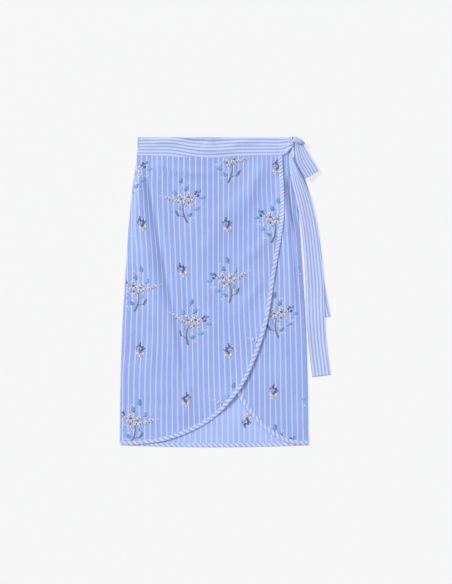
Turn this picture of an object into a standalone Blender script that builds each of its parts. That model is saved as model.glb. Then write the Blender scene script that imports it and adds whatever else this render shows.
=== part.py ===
"""Wrap skirt laid flat, its sash tied in a half bow at the end of the waistband.

Metres, +Z up. The cloth lies on the plane Z = 0 with the waist towards +Y. The back panel is at
the bottom, the underlap lies on it, and the overlap lies on both. Every cloth piece is an open
surface with a Solidify modifier. A height function gives the underside of each front panel, and
each binding is made from the points of the panel that it covers, moved out.
"""

import math
from typing import NamedTuple

import bmesh
import bpy
import numpy as np
from mathutils import Vector

# Cloth
CLOTH = 0.0012
BAND_CLOTH = 0.0016
SEAM_GAP = 0.0003
BINDING_WIDTH = 0.0100

# Outline of the skirt, measured from the middle of the hem
WAIST_TOP = 0.7500
WAIST_SEAM = 0.7065
WAIST_SEAM_SAG = 0.0060
HALF_HEM = 0.2283
HEM_RISE = 0.0055
TOP_HALF_WIDTH = 0.1870

# Heights at which the layers lie: a front panel on the back panel, the underlap on the back's
# binding, the overlap on the underlap's binding, and the overlap past that binding
SIDE_LIE = CLOTH + SEAM_GAP
UNDERLAP_LIE = 2 * (CLOTH + SEAM_GAP)
OVERLAP_LIE = UNDERLAP_LIE + 2 * (CLOTH + SEAM_GAP)
SETTLED_LIE = UNDERLAP_LIE + BAND_CLOTH + SEAM_GAP
BAND_DROP = (BAND_CLOTH - CLOTH) / 2
SIDE_ROLL = 0.018
HEM_CLEARANCE = 0.014
HEM_ROLL = 0.040
WAIST_ROLL = 0.120
LIFT_RUN = 0.110

# The mesh of each piece
OVERLAP_ROWS = 36
OVERLAP_COLUMNS = 26
UNDERLAP_ROWS = 30
UNDERLAP_COLUMNS = 24
BACK_ROWS = 10
BACK_COLUMNS = 20
RELAX_STEPS = 160
CURVE_SAMPLES = 48
NEAREST_SAMPLES = 24
SAME_POINT = 0.00003


class SideRow(NamedTuple):
    height: float
    half_width: float


SIDE_SEAM = (
    SideRow(0.006, 0.2283),
    SideRow(0.115, 0.2272),
    SideRow(0.231, 0.2245),
    SideRow(0.347, 0.2190),
    SideRow(0.443, 0.2130),
    SideRow(0.541, 0.2060),
    SideRow(0.618, 0.1990),
    SideRow(0.676, 0.1905),
    SideRow(0.706, 0.1870),
    SideRow(0.750, 0.1810),
)


class EdgePoint(NamedTuple):
    x: float
    y: float


# Free edges, from the waist seam down and round to the hem's corner
OVERLAP_EDGE = (
    EdgePoint(0.1654, 0.7060),
    EdgePoint(0.1697, 0.6080),
    EdgePoint(0.1676, 0.5400),
    EdgePoint(0.1492, 0.4270),
    EdgePoint(0.1268, 0.2940),
    EdgePoint(0.0826, 0.1730),
    EdgePoint(0.0399, 0.1110),
    EdgePoint(-0.0053, 0.0673),
    EdgePoint(-0.0571, 0.0380),
    EdgePoint(-0.1220, 0.0155),
    EdgePoint(-0.1868, 0.0072),
    EdgePoint(-0.2283, 0.0062),
)
UNDERLAP_EDGE = (
    EdgePoint(-0.0420, 0.7010),
    EdgePoint(-0.0400, 0.6000),
    EdgePoint(-0.0350, 0.5100),
    EdgePoint(-0.0180, 0.3900),
    EdgePoint(0.0060, 0.2700),
    EdgePoint(0.0360, 0.1700),
    EdgePoint(0.0745, 0.0995),
    EdgePoint(0.1147, 0.0520),
    EdgePoint(0.1617, 0.0185),
    EdgePoint(0.1950, 0.0085),
    EdgePoint(0.2283, 0.0062),
)


class Fold(NamedTuple):
    """A soft ridge along a curve from its top through a bend to its foot. The widths are on the
    left and right of someone who walks it from the top, and a fade is a share of its length."""

    top: tuple
    bend: tuple
    foot: tuple
    height: float
    left: float
    right: float
    top_fade: float
    foot_fade: float


class Trough(NamedTuple):
    """A sharp trough along a curve from its top through a bend to its foot, with the height that
    the cloth gains on each side of it and how far off, as someone who walks it sees them."""

    top: tuple
    bend: tuple
    foot: tuple
    left_rise: float
    left_run: float
    right_rise: float
    right_run: float
    top_fade: float
    foot_fade: float


OVERLAP_FOLDS = (
    # the swag that hangs from the knot, and the drag lines beside it
    Fold((0.126, 0.702), (0.067, 0.541), (-0.060, 0.548), 0.0034, 0.034, 0.020, 0.10, 0.50),
    Fold((0.120, 0.694), (0.087, 0.629), (0.080, 0.560), 0.0020, 0.012, 0.016, 0.25, 0.40),
    Fold((0.034, 0.560), (-0.010, 0.500), (-0.053, 0.434), 0.0028, 0.026, 0.020, 0.40, 0.40),
    Fold((0.148, 0.524), (0.105, 0.478), (0.050, 0.440), 0.0026, 0.016, 0.014, 0.25, 0.45),
    # the slack under the waistband, and a drag line from its other end
    Fold((-0.150, 0.697), (-0.090, 0.654), (0.030, 0.664), 0.0026, 0.012, 0.020, 0.25, 0.45),
    Fold((-0.139, 0.700), (-0.118, 0.650), (-0.108, 0.600), 0.0014, 0.010, 0.012, 0.15, 0.50),
    # the two arms of a shallow fork towards the free edge
    Fold((-0.055, 0.400), (-0.010, 0.330), (0.058, 0.270), 0.0028, 0.018, 0.014, 0.35, 0.35),
    Fold((0.130, 0.430), (0.095, 0.370), (0.055, 0.320), 0.0022, 0.014, 0.016, 0.35, 0.40),
    # the lifted stretches of the free edge
    Fold((0.163, 0.670), (0.175, 0.610), (0.167, 0.535), 0.0055, 0.012, 0.013, 0.50, 0.50),
    Fold((0.150, 0.400), (0.118, 0.215), (0.020, 0.085), 0.0018, 0.030, 0.020, 0.25, 0.30),
    # slack above the hem
    Fold((-0.060, 0.190), (-0.062, 0.130), (-0.066, 0.070), 0.0018, 0.014, 0.018, 0.50, 0.40),
    Fold((-0.152, 0.290), (-0.156, 0.225), (-0.158, 0.150), 0.0018, 0.013, 0.016, 0.45, 0.45),
    Fold((-0.175, 0.092), (-0.110, 0.074), (-0.035, 0.074), 0.0014, 0.018, 0.012, 0.40, 0.40),
)
# The long fold from the side of the waist
OVERLAP_TROUGHS = (
    Trough(
        (-0.170, 0.690), (-0.118, 0.440), (-0.063, 0.115), 0.0020, 0.018, 0.0082, 0.032, 0.08, 0.62
    ),
)
# Slack beside the underlap's free edge
UNDERLAP_FOLDS = (
    Fold((0.150, 0.330), (0.172, 0.220), (0.180, 0.090), 0.0018, 0.022, 0.016, 0.45, 0.45),
)
# The hollow beside the overlap's edge, and the one beside the side seam that carries it on
UNDERLAP_TROUGHS = (
    Trough(
        (0.168, 0.660), (0.170, 0.590), (0.191, 0.530), 0.0045, 0.010, 0.0000, 0.010, 0.25, 0.35
    ),
    Trough(
        (0.182, 0.570), (0.197, 0.470), (0.209, 0.250), 0.0018, 0.008, 0.0030, 0.012, 0.25, 0.45
    ),
)


class BandRow(NamedTuple):
    """A section of the overlap's waistband where it gathers towards the knot."""

    x: float
    low: float
    high: float
    gather: float


BAND_TAPER = (
    BandRow(0.1560, 0.7046, 0.7500, 0.0000),
    BandRow(0.1670, 0.7056, 0.7500, 0.0004),
    BandRow(0.1760, 0.7105, 0.7496, 0.0010),
    BandRow(0.1840, 0.7190, 0.7450, 0.0012),
    BandRow(0.1925, 0.7290, 0.7360, 0.0008),
)
TAPER_STEPS = 7
BAND_GATHERS = 3
BAND_COLUMNS = 12


class TieRow(NamedTuple):
    """A section of a tie: its middle, its width, its lift off what it lies on, its gathers."""

    x: float
    y: float
    width: float
    lift: float
    gather: float


SHORT_TAIL = (
    TieRow(0.1960, 0.7400, 0.006, 0.0000, 0.0002),
    TieRow(0.1975, 0.7270, 0.006, 0.0000, 0.0002),
    TieRow(0.1985, 0.7110, 0.008, 0.0000, 0.0003),
    TieRow(0.1990, 0.6980, 0.011, 0.0000, 0.0005),
    TieRow(0.2005, 0.6840, 0.016, 0.0000, 0.0008),
    TieRow(0.2030, 0.6700, 0.022, 0.0000, 0.0010),
    TieRow(0.2083, 0.6400, 0.030, 0.0000, 0.0008),
    TieRow(0.2165, 0.6000, 0.036, 0.0000, 0.0005),
    TieRow(0.2255, 0.5600, 0.038, 0.0000, 0.0003),
    TieRow(0.2325, 0.5200, 0.040, 0.0000, 0.0000),
    TieRow(0.2375, 0.4770, 0.042, 0.0000, 0.0000),
    TieRow(0.2436, 0.4050, 0.045, 0.0000, 0.0000),
    TieRow(0.2515, 0.3600, 0.045, 0.0000, 0.0000),
    TieRow(0.2604, 0.3130, 0.045, 0.0000, 0.0000),
)
LONG_TAIL = (
    TieRow(0.1890, 0.7400, 0.006, 0.0000, 0.0002),
    TieRow(0.1868, 0.7270, 0.005, 0.0000, 0.0002),
    TieRow(0.1842, 0.7110, 0.005, 0.0000, 0.0003),
    TieRow(0.1856, 0.6995, 0.009, 0.0000, 0.0006),
    TieRow(0.1885, 0.6870, 0.014, 0.0000, 0.0008),
    TieRow(0.1935, 0.6700, 0.021, 0.0000, 0.0010),
    TieRow(0.2030, 0.6400, 0.030, 0.0000, 0.0008),
    TieRow(0.2158, 0.6000, 0.036, 0.0000, 0.0006),
    TieRow(0.2252, 0.5600, 0.038, 0.0000, 0.0003),
    TieRow(0.2318, 0.5200, 0.040, 0.0000, 0.0000),
    TieRow(0.2365, 0.4770, 0.041, 0.0000, 0.0000),
    TieRow(0.2428, 0.4050, 0.045, 0.0000, 0.0000),
    TieRow(0.2450, 0.3400, 0.045, 0.0000, 0.0000),
    TieRow(0.2465, 0.3020, 0.045, 0.0000, 0.0000),
    TieRow(0.2486, 0.2700, 0.045, 0.0000, 0.0000),
    TieRow(0.2520, 0.2380, 0.045, 0.0000, 0.0000),
    TieRow(0.2600, 0.1730, 0.046, 0.0000, 0.0000),
)
BOW_LOOP = (
    TieRow(0.2036, 0.7400, 0.0150, 0.0006, 0.0004),
    TieRow(0.2053, 0.7300, 0.0205, 0.0008, 0.0008),
    TieRow(0.2090, 0.7165, 0.0285, 0.0008, 0.0006),
    TieRow(0.2182, 0.6915, 0.0375, 0.0004, 0.0003),
    TieRow(0.2371, 0.6598, 0.0377, 0.0000, 0.0000),
)
LOOP_PINCH = 0.0022
LOOP_SPREAD = 0.0040
LOOP_TURN_STEPS = 6
TIE_COLUMNS = 8
TAIL_STEPS = 32
LOOP_STEPS = 12
TIE_GATHERS = 2

# How a tie comes down beside what it lies on
REST_GAP = 0.0006
REST_SHELF = 0.005
REST_SLOPE = 0.55
REST_REACH = 0.020
REST_RINGS = 11
REST_SPOKES = 16
STATION_REACH = 0.55
TAIL_TAUTNESS = 6
LOOP_TAUTNESS = 40


class KnotRow(NamedTuple):
    """A section of the cloth that the knot turns over the loop."""

    x: float
    y: float
    width: float
    lie: float
    gather: float


KNOT_TURN = (
    KnotRow(0.1850, 0.7476, 0.0060, 0.0118, 0.0004),
    KnotRow(0.1890, 0.7466, 0.0085, 0.0140, 0.0008),
    KnotRow(0.1945, 0.7448, 0.0110, 0.0154, 0.0010),
    KnotRow(0.2015, 0.7418, 0.0115, 0.0158, 0.0010),
    KnotRow(0.2075, 0.7390, 0.0105, 0.0150, 0.0010),
    KnotRow(0.2138, 0.7361, 0.0085, 0.0130, 0.0006),
    KnotRow(0.2176, 0.7345, 0.0072, 0.0100, 0.0002),
    KnotRow(0.2198, 0.7336, 0.0065, 0.0050, 0.0000),
    KnotRow(0.2203, 0.7334, 0.0060, 0.0004, 0.0000),
)
KNOT_STEPS = 22

# Colours and roughness
STRIPED_BLUE = (0.33, 0.42, 0.80)
PALE_STRIPE = (0.46, 0.54, 0.86)
CLOTH_ROUGHNESS = 0.85


def smooth(share):
    """0 below 0, 1 above 1, and an easy curve between."""
    share = np.clip(share, 0.0, 1.0)
    return share * share * (3 - 2 * share)


def half_width(y):
    """Half the width of the skirt at height y, by a smooth curve through the side seam's rows."""
    heights = np.array([row.height for row in SIDE_SEAM])
    widths = np.array([row.half_width for row in SIDE_SEAM])
    slopes = np.gradient(widths, heights)
    y = np.clip(y, heights[0], heights[-1])
    k = np.clip(np.searchsorted(heights, y) - 1, 0, len(heights) - 2)
    run = heights[k + 1] - heights[k]
    u = (y - heights[k]) / run
    rise = (2 * u**3 - 3 * u**2 + 1) * widths[k] + (3 * u**2 - 2 * u**3) * widths[k + 1]
    return rise + run * ((u**3 - 2 * u**2 + u) * slopes[k] + (u**3 - u**2) * slopes[k + 1])


def hem_line(x):
    """Height of the back's bound hem, which curves up to its corners."""
    return HEM_RISE * (x / HALF_HEM) ** 2


def waist_seam(x):
    """Height of the waistband's lower edge."""
    return WAIST_SEAM - WAIST_SEAM_SAG * (1 - (x / TOP_HALF_WIDTH) ** 2)


def smooth_path(rows, steps):
    """A smooth curve through the rows, as steps + 1 rows evenly spaced in the plan."""
    rows = np.array(rows, float)
    ends = (2 * rows[0] - rows[1], 2 * rows[-1] - rows[-2])
    padded = np.vstack([ends[0], rows, ends[1]])
    fine = []
    for a, b, c, d in zip(padded, padded[1:], padded[2:], padded[3:]):
        for u in np.arange(CURVE_SAMPLES) / CURVE_SAMPLES:
            bow = (2 * a - 5 * b + 4 * c - d) * u * u + (3 * b - a - 3 * c + d) * u**3
            fine.append(b + 0.5 * ((c - a) * u + bow))
    fine = np.array(fine + [rows[-1]])
    travel = np.cumsum(np.hypot(*np.diff(fine[:, :2], axis=0).T))
    travel = np.concatenate([[0], travel])
    even = np.linspace(0, travel[-1], steps + 1)
    return np.column_stack([np.interp(even, travel, column) for column in fine.T])


def inward(path, side):
    """Unit vectors in the plan at right angles to a path, on its left for side 1."""
    ahead = np.gradient(path[:, :2], axis=0)
    ahead /= np.hypot(*ahead.T)[:, None]
    return side * np.column_stack([-ahead[:, 1], ahead[:, 0]])


def beside(fold, x, y):
    """How far each point is to the left of a fold's curve, how far squared it is past the ends,
    and how full the fold is beside it."""
    samples = np.linspace(0, 1, NEAREST_SAMPLES)[:, None]
    top, bend, foot = (np.array(p) for p in (fold.top, fold.bend, fold.foot))
    bow = top - 2 * bend + foot
    crest = top + 2 * samples * (bend - top) + samples**2 * bow
    apart = (x[..., None] - crest[:, 0]) ** 2 + (y[..., None] - crest[:, 1]) ** 2
    u = samples[np.argmin(apart, axis=-1), 0]
    for _ in range(3):
        ahead = [2 * (bend[i] - top[i]) + 2 * u * bow[i] for i in range(2)]
        on = [top[i] + 2 * u * (bend[i] - top[i]) + u * u * bow[i] for i in range(2)]
        away = x - on[0], y - on[1]
        length = np.hypot(*ahead)
        along = (away[0] * ahead[0] + away[1] * ahead[1]) / length
        u = np.clip(u + along / length, 0, 1)
    across = (away[1] * ahead[0] - away[0] * ahead[1]) / length
    full = smooth(u / fold.top_fade) * smooth((1 - u) / fold.foot_fade)
    return across, np.maximum(np.hypot(*away) ** 2 - across**2, 0), full


def fold_rise(folds, troughs, x, y):
    """Height that ridges and troughs add at each point."""
    rise = np.zeros_like(x)
    for fold in folds:
        across, beyond, full = beside(fold, x, y)
        width = np.where(across > 0, fold.left, fold.right)
        rise += fold.height * full * np.exp(-(across**2 + beyond) / width**2)
    for trough in troughs:
        across, beyond, full = beside(trough, x, y)
        run = np.where(across > 0, trough.left_run, trough.right_run)
        height = np.where(across > 0, trough.left_rise, trough.right_rise)
        off = np.abs(across) / run
        rise += height * full * off * np.exp((1 - off**2) / 2 - beyond / run**2)
    return rise


def side_lie(inset, y, lie):
    """Lowers a panel's lie near its side seam, where it comes down onto the back panel."""
    roll = smooth((y - HEM_CLEARANCE) / HEM_ROLL) * (1 - smooth(inset / SIDE_ROLL))
    return lie + (SIDE_LIE - lie) * roll


def underlap_lie(x, y):
    """Height of the underlap's underside."""
    inset = half_width(y) - x
    folds = fold_rise(UNDERLAP_FOLDS, UNDERLAP_TROUGHS, x, y) * smooth(inset / SIDE_ROLL)
    return side_lie(inset, y, UNDERLAP_LIE) + folds


def underlap_edge_x(y):
    """Where the underlap's free edge is at height y."""
    points = sorted(UNDERLAP_EDGE, key=lambda point: point.y)
    return np.interp(y, [point.y for point in points], [point.x for point in points])


def overlap_base(x, y):
    """Height of the overlap's underside but for its folds: from the back panel, which it reaches
    away from the hem and the waist, up over the underlap's binding and down past it."""
    settled = smooth((y - HEM_CLEARANCE) / HEM_ROLL) * smooth((WAIST_SEAM - y) / WAIST_ROLL)
    low = UNDERLAP_LIE + (SIDE_LIE - UNDERLAP_LIE) * settled
    past = x - underlap_edge_x(y)
    rise = (OVERLAP_LIE - low) * smooth((past + LIFT_RUN) / LIFT_RUN)
    return low + rise + (SETTLED_LIE - OVERLAP_LIE) * smooth((past - BINDING_WIDTH) / LIFT_RUN)


def overlap_lie(x, y):
    """Height of the overlap's underside, which stays clear of the underlap's folds."""
    inset = x + half_width(y)
    folds = fold_rise(OVERLAP_FOLDS, OVERLAP_TROUGHS, x, y) * smooth(inset / SIDE_ROLL)
    lie = side_lie(inset, y, overlap_base(x, y)) + folds
    clear = underlap_lie(x, y) + CLOTH + SEAM_GAP
    return np.where(x > underlap_edge_x(y), np.maximum(lie, clear), lie)


def plain_cloth(name, colour):
    material = bpy.data.materials.new(name)
    material.use_nodes = True
    shader = material.node_tree.nodes["Principled BSDF"]
    shader.inputs["Base Color"].default_value = (*colour, 1)
    shader.inputs["Roughness"].default_value = CLOTH_ROUGHNESS
    return material


def finish(name, bm, material, collection, thickness, offset=1.0):
    """Makes the object of a cloth surface and gives it its wall."""
    mesh = bpy.data.meshes.new(name)
    bm.to_mesh(mesh)
    bm.free()
    mesh.materials.append(material)
    mesh.shade_smooth()
    obj = bpy.data.objects.new(name, mesh)
    collection.objects.link(obj)
    wall = obj.modifiers.new("wall", "SOLIDIFY")
    wall.thickness = thickness
    wall.offset = offset
    wall.use_even_offset = True


def face_up(bm):
    bm.normal_update()
    if sum(face.normal.z * face.calc_area() for face in bm.faces) < 0:
        bmesh.ops.reverse_faces(bm, faces=bm.faces)


def grid_surface(columns, rows, place):
    """A grid whose point at share s across and t up goes to place(s, t)."""
    bm = bmesh.new()
    bmesh.ops.create_grid(bm, x_segments=columns, y_segments=rows, size=0.5)
    for vert in bm.verts:
        vert.co = Vector(place(vert.co.x + 0.5, vert.co.y + 0.5))
    return bm


def free_edge(points, steps):
    """The outer line of a front panel's bound edge, from the waist to the side seam."""
    rows = [EdgePoint(points[0].x, waist_seam(points[0].x) - SEAM_GAP), *points[1:]]
    return smooth_path(rows, steps)


def front_panel(name, points, side, lie, columns, rows, material, collection):
    """A front panel from its side seam, at side -1 or 1, to its bound edge.
    Returns the two lines on its underside that its binding is made from."""
    edge = free_edge(points, rows + columns)
    into = inward(edge, side)
    fold_line = edge + BINDING_WIDTH * into
    raw_line = edge + (CLOTH + SEAM_GAP) * into
    fold_line[-1, 0] = raw_line[-1, 0] = side * half_width(fold_line[-1, 1])
    foot, head = fold_line[-1, 1], waist_seam(side * TOP_HALF_WIDTH) - SEAM_GAP
    side_top = side * half_width(head)

    def outline(s, t):
        """A point on one of the four sides of the panel, or their blend inside it."""
        column, row = round(s * columns), round(t * rows)
        low = fold_line[rows + columns - column]
        far = fold_line[rows - row]
        seam_x = side_top + s * (fold_line[0, 0] - side_top)
        high = np.array([seam_x, waist_seam(seam_x) - SEAM_GAP])
        seam_y = foot + t * (head - foot)
        near = np.array([side * half_width(seam_y), seam_y])
        corners = (1 - s) * (1 - t) * fold_line[-1] + s * (1 - t) * fold_line[rows]
        corners = corners + (1 - s) * t * np.array([side_top, head]) + s * t * fold_line[0]
        blend = (1 - t) * low + t * high + (1 - s) * near + s * far - corners
        return (*blend, 0)

    bm = grid_surface(columns, rows, outline)
    inside = [vert for vert in bm.verts if not vert.is_boundary]
    for _ in range(RELAX_STEPS):
        bmesh.ops.smooth_vert(bm, verts=inside, factor=1.0, use_axis_x=True, use_axis_y=True)

    def station(vert):
        """The station of the bound edge that a vertex is at, or None."""
        apart = np.hypot(*(fold_line - np.array(vert.co.xy)).T)
        return int(apart.argmin()) if apart.min() < SAME_POINT else None

    bound = {vert: station(vert) for vert in bm.verts if vert.is_boundary}
    edges = [e for e in bm.edges if e.is_boundary and None not in [bound[v] for v in e.verts]]
    made = bmesh.ops.extrude_edge_only(bm, edges=edges)["geom"]
    for vert in (part for part in made if isinstance(part, bmesh.types.BMVert)):
        vert.co.xy = raw_line[station(vert)]
    plan = np.array([vert.co.xy for vert in bm.verts])
    for vert, height in zip(bm.verts, lie(plan[:, 0], plan[:, 1])):
        vert.co.z = height
    face_up(bm)
    finish(name, bm, material, collection, CLOTH)
    return [np.column_stack([line, lie(line[:, 0], line[:, 1])]) for line in (fold_line, raw_line)]


def binding(name, lines, material, collection):
    """Bias binding over a panel's edge: a leg on the panel's face, turned down round its edge."""
    fold_line, raw_line = lines
    steps = len(raw_line) - 1
    out = raw_line - fold_line
    out /= np.linalg.norm(out, axis=1)[:, None]
    up = np.array([0, 0, 1])
    over = CLOTH + SEAM_GAP

    def place(s, t):
        k = round(s * steps)
        turned = raw_line[k] + out[k] * SEAM_GAP
        profile = (
            fold_line[k] + up * over,
            raw_line[k] + up * over,
            turned + up * (over - SEAM_GAP),
            turned,
        )
        return profile[round(t * 3)]

    bm = grid_surface(steps, 3, place)
    face_up(bm)
    finish(name, bm, material, collection, CLOTH)


def back_panel(material, collection):
    """The flat back panel, whose underside is what the skirt rests on.
    Returns the two lines that its binding is made from."""
    foot = hem_line(0) + BINDING_WIDTH

    def place(s, t):
        y = foot + t * (waist_seam(0) - foot)
        x = (2 * s - 1) * half_width(y)
        low, high = hem_line(x) + BINDING_WIDTH, waist_seam(x) - SEAM_GAP
        return x, low + t * (high - low), 0

    bm = grid_surface(BACK_COLUMNS, BACK_ROWS, place)
    low_edges = [
        e
        for e in bm.edges
        if e.is_boundary and all(v.co.y < foot + HEM_RISE + SEAM_GAP for v in e.verts)
    ]
    made = bmesh.ops.extrude_edge_only(bm, edges=low_edges)["geom"]
    for vert in (part for part in made if isinstance(part, bmesh.types.BMVert)):
        vert.co.y = hem_line(vert.co.x) + CLOTH + SEAM_GAP
    face_up(bm)
    finish("back_panel", bm, material, collection, CLOTH)
    x = np.linspace(-1, 1, BACK_COLUMNS + 1) * half_width(foot)
    flat = np.zeros_like(x)
    return [
        np.column_stack([x, hem_line(x) + BINDING_WIDTH, flat]),
        np.column_stack([x, hem_line(x) + CLOTH + SEAM_GAP, flat]),
    ]


def band_end(x, y):
    """Slants the end of a waistband layer at a side seam."""
    return x * half_width(y) / TOP_HALF_WIDTH if abs(x) == TOP_HALF_WIDTH else x


def band_lie(inset, lie):
    """Height of a waistband's underside, which comes down onto the back's at the side seam."""
    return np.maximum(side_lie(inset, WAIST_TOP, lie) - BAND_DROP, BAND_CLOTH + SEAM_GAP)


def back_band_lie(x):
    """Height of the underside of the back's waistband."""
    return 0.0


def under_band_lie(x):
    """Height of the underside of the underlap's waistband."""
    return float(band_lie(TOP_HALF_WIDTH - x, UNDERLAP_LIE))


def flat_band(name, first_x, lie, material, collection):
    """A waistband layer, two layers of cloth thick, from first_x to the right side seam."""

    def place(s, t):
        x = first_x + s * (TOP_HALF_WIDTH - first_x)
        low = waist_seam(x)
        y = low + t * (WAIST_TOP - low)
        return band_end(x, y), y, lie(x)

    bm = grid_surface(BAND_COLUMNS, 2, place)
    face_up(bm)
    finish(name, bm, material, collection, BAND_CLOTH)


def front_band(beneath, material, collection):
    """The overlap's waistband, which gathers into the knot over the ends of the sash."""
    taper = smooth_path(BAND_TAPER, TAPER_STEPS)
    first = taper[0, 0]
    straight = np.linspace(-TOP_HALF_WIDTH, first, BAND_COLUMNS + 1)[:-1]
    sections = [(x, waist_seam(x), WAIST_TOP, 0) for x in straight] + list(taper)
    steps = len(sections) - 1

    def place(s, t):
        x, low, high, gather = sections[round(s * steps)]
        y = low + t * (high - low)
        wave = gather * (0.5 - 0.5 * math.cos(2 * math.pi * BAND_GATHERS * t))
        base = float(band_lie(x + TOP_HALF_WIDTH, overlap_base(x, WAIST_SEAM)))
        if x > straight[-1]:
            base = max(base, float(rest_on(beneath, np.array([x]), np.array([y]))[0]))
        return band_end(x, y), y, base + wave

    bm = grid_surface(steps, 4 * BAND_GATHERS, place)
    face_up(bm)
    finish("waistband_front", bm, material, collection, BAND_CLOTH)


def skirt_top(x, y):
    """Height of the top of the underlap and its waistband, 0 off the skirt."""
    inside = (np.abs(x) < half_width(y)) & (y > 0) & (y < WAIST_TOP)
    panel = underlap_lie(x, y) + CLOTH
    band = band_lie(half_width(y) - x, UNDERLAP_LIE) + BAND_CLOTH
    return np.where(inside, np.where(y < waist_seam(x), panel, band), 0)


def rest_on(tops, x, y):
    """Height of cloth that lies on the highest of some tops and comes down evenly beside them."""
    height = np.zeros_like(x)
    for radius in np.linspace(0, REST_REACH, REST_RINGS):
        for angle in np.linspace(0, 2 * math.pi, REST_SPOKES, endpoint=False):
            near = x + radius * math.cos(angle), y + radius * math.sin(angle)
            fall = REST_SLOPE * max(0, radius - REST_SHELF)
            for top in tops:
                level = top(*near)
                height = np.maximum(height, np.where(level > 0, level + REST_GAP - fall, 0))
    return height


def drawn_taut(height, steps):
    """Rounds the hollows of a grid of heights and leaves its ridges where they are."""
    for _ in range(steps):
        edged = np.pad(height, 1, mode="edge")
        beside = edged[1:-1, :-2] + edged[1:-1, 2:] + edged[:-2, 1:-1] + edged[2:, 1:-1]
        height = np.maximum(height, beside / 4)
    return height


class Tie:
    """A strip of the sash laid over what is beneath it: points on its underside, by station."""

    def __init__(self, rows, steps, tautness, beneath):
        self.path = smooth_path(rows, steps)
        self.across = inward(self.path, -1)
        t = np.linspace(0, 1, TIE_COLUMNS + 1)
        off = (0.5 - t) * self.path[:, 2:3]
        x = self.path[:, 0:1] + off * self.across[:, 0:1]
        y = self.path[:, 1:2] + off * self.across[:, 1:2]
        z = drawn_taut(rest_on(beneath, x, y), tautness) + self.path[:, 3:4]
        z += self.path[:, 4:5] * (0.5 - 0.5 * np.cos(2 * np.pi * TIE_GATHERS * t))
        self.points = np.dstack([x, y, z])

    def top(self, x, y):
        """Height of the strip's top at each point, 0 off the strip."""
        away = np.stack([x[..., None] - self.path[:, 0], y[..., None] - self.path[:, 1]])
        k = np.argmin(away[0] ** 2 + away[1] ** 2, axis=-1)
        away = np.take_along_axis(away, k[None, ..., None], axis=-1)[..., 0]
        off = away[0] * self.across[k, 0] + away[1] * self.across[k, 1]
        along = np.hypot(*away) ** 2 - off**2
        reach = STATION_REACH * np.hypot(*(self.path[1, :2] - self.path[0, :2]))
        inside = (np.abs(off) < self.path[k, 2] / 2) & (along < reach**2)
        column = np.clip((0.5 - off / self.path[k, 2]) * TIE_COLUMNS, 0, TIE_COLUMNS)
        z = self.points[..., 2]
        level = np.maximum(z[k, np.floor(column).astype(int)], z[k, np.ceil(column).astype(int)])
        return np.where(inside, level + BAND_CLOTH, 0)


def tail(name, strip, material, collection):
    """A hanging end of the sash, of two layers of cloth, from the knot to its cut end."""
    steps = len(strip.points) - 1
    bm = grid_surface(
        steps, TIE_COLUMNS, lambda s, t: strip.points[round(s * steps), round(t * TIE_COLUMNS)]
    )
    face_up(bm)
    finish(name, bm, material, collection, BAND_CLOTH)


def bow_loop(strip, material, collection):
    """The loop of the half bow: out from the knot, round a fold and back on itself."""
    across = strip.across[-1]
    ahead = np.array([across[1], -across[0], 0])
    radius = LOOP_SPREAD / 2
    up = np.array([0, 0, 1])
    steps = 2 * LOOP_STEPS + LOOP_TURN_STEPS

    def place(s, t):
        k, column = round(s * steps), round(t * TIE_COLUMNS)
        middle = up * (BAND_CLOTH / 2 + SEAM_GAP)
        if k <= LOOP_STEPS:
            return strip.points[k, column] + middle
        if k >= LOOP_STEPS + LOOP_TURN_STEPS:
            opened = smooth((steps - k) / LOOP_STEPS)
            apart = LOOP_PINCH + (LOOP_SPREAD - LOOP_PINCH) * opened
            return strip.points[steps - k, column] + middle + up * apart
        angle = math.pi * (k - LOOP_STEPS) / LOOP_TURN_STEPS
        turn = radius * (math.sin(angle) * ahead + (1 - math.cos(angle)) * up)
        return strip.points[LOOP_STEPS, column] + middle + turn

    bm = grid_surface(steps, TIE_COLUMNS, place)
    finish("tie_loop", bm, material, collection, BAND_CLOTH, offset=0.0)


def knot_turn(material, collection):
    """The cloth that the knot turns over the loop, down onto the floor at its outer end."""
    path = smooth_path(KNOT_TURN, KNOT_STEPS)
    across = inward(path, -1)

    def place(s, t):
        x, y, width, lie, gather = path[round(s * KNOT_STEPS)]
        off = (0.5 - t) * width
        wave = gather * (0.5 - 0.5 * math.cos(2 * math.pi * TIE_GATHERS * t))
        sideways = across[round(s * KNOT_STEPS)] * off
        return x + sideways[0], y + sideways[1], lie + wave

    bm = grid_surface(KNOT_STEPS, TIE_COLUMNS, place)
    face_up(bm)
    finish("tie_knot", bm, material, collection, BAND_CLOTH)


def centre_on_origin(objects):
    """Moves the whole object so that the middle of its footprint is at the origin."""
    bpy.context.view_layer.update()
    graph = bpy.context.evaluated_depsgraph_get()
    corners = [Vector(c) for obj in objects for c in obj.evaluated_get(graph).bound_box]
    low = [min(c[axis] for c in corners) for axis in range(2)]
    high = [max(c[axis] for c in corners) for axis in range(2)]
    for obj in objects:
        obj.location = (-(low[0] + high[0]) / 2, -(low[1] + high[1]) / 2, 0)


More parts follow.
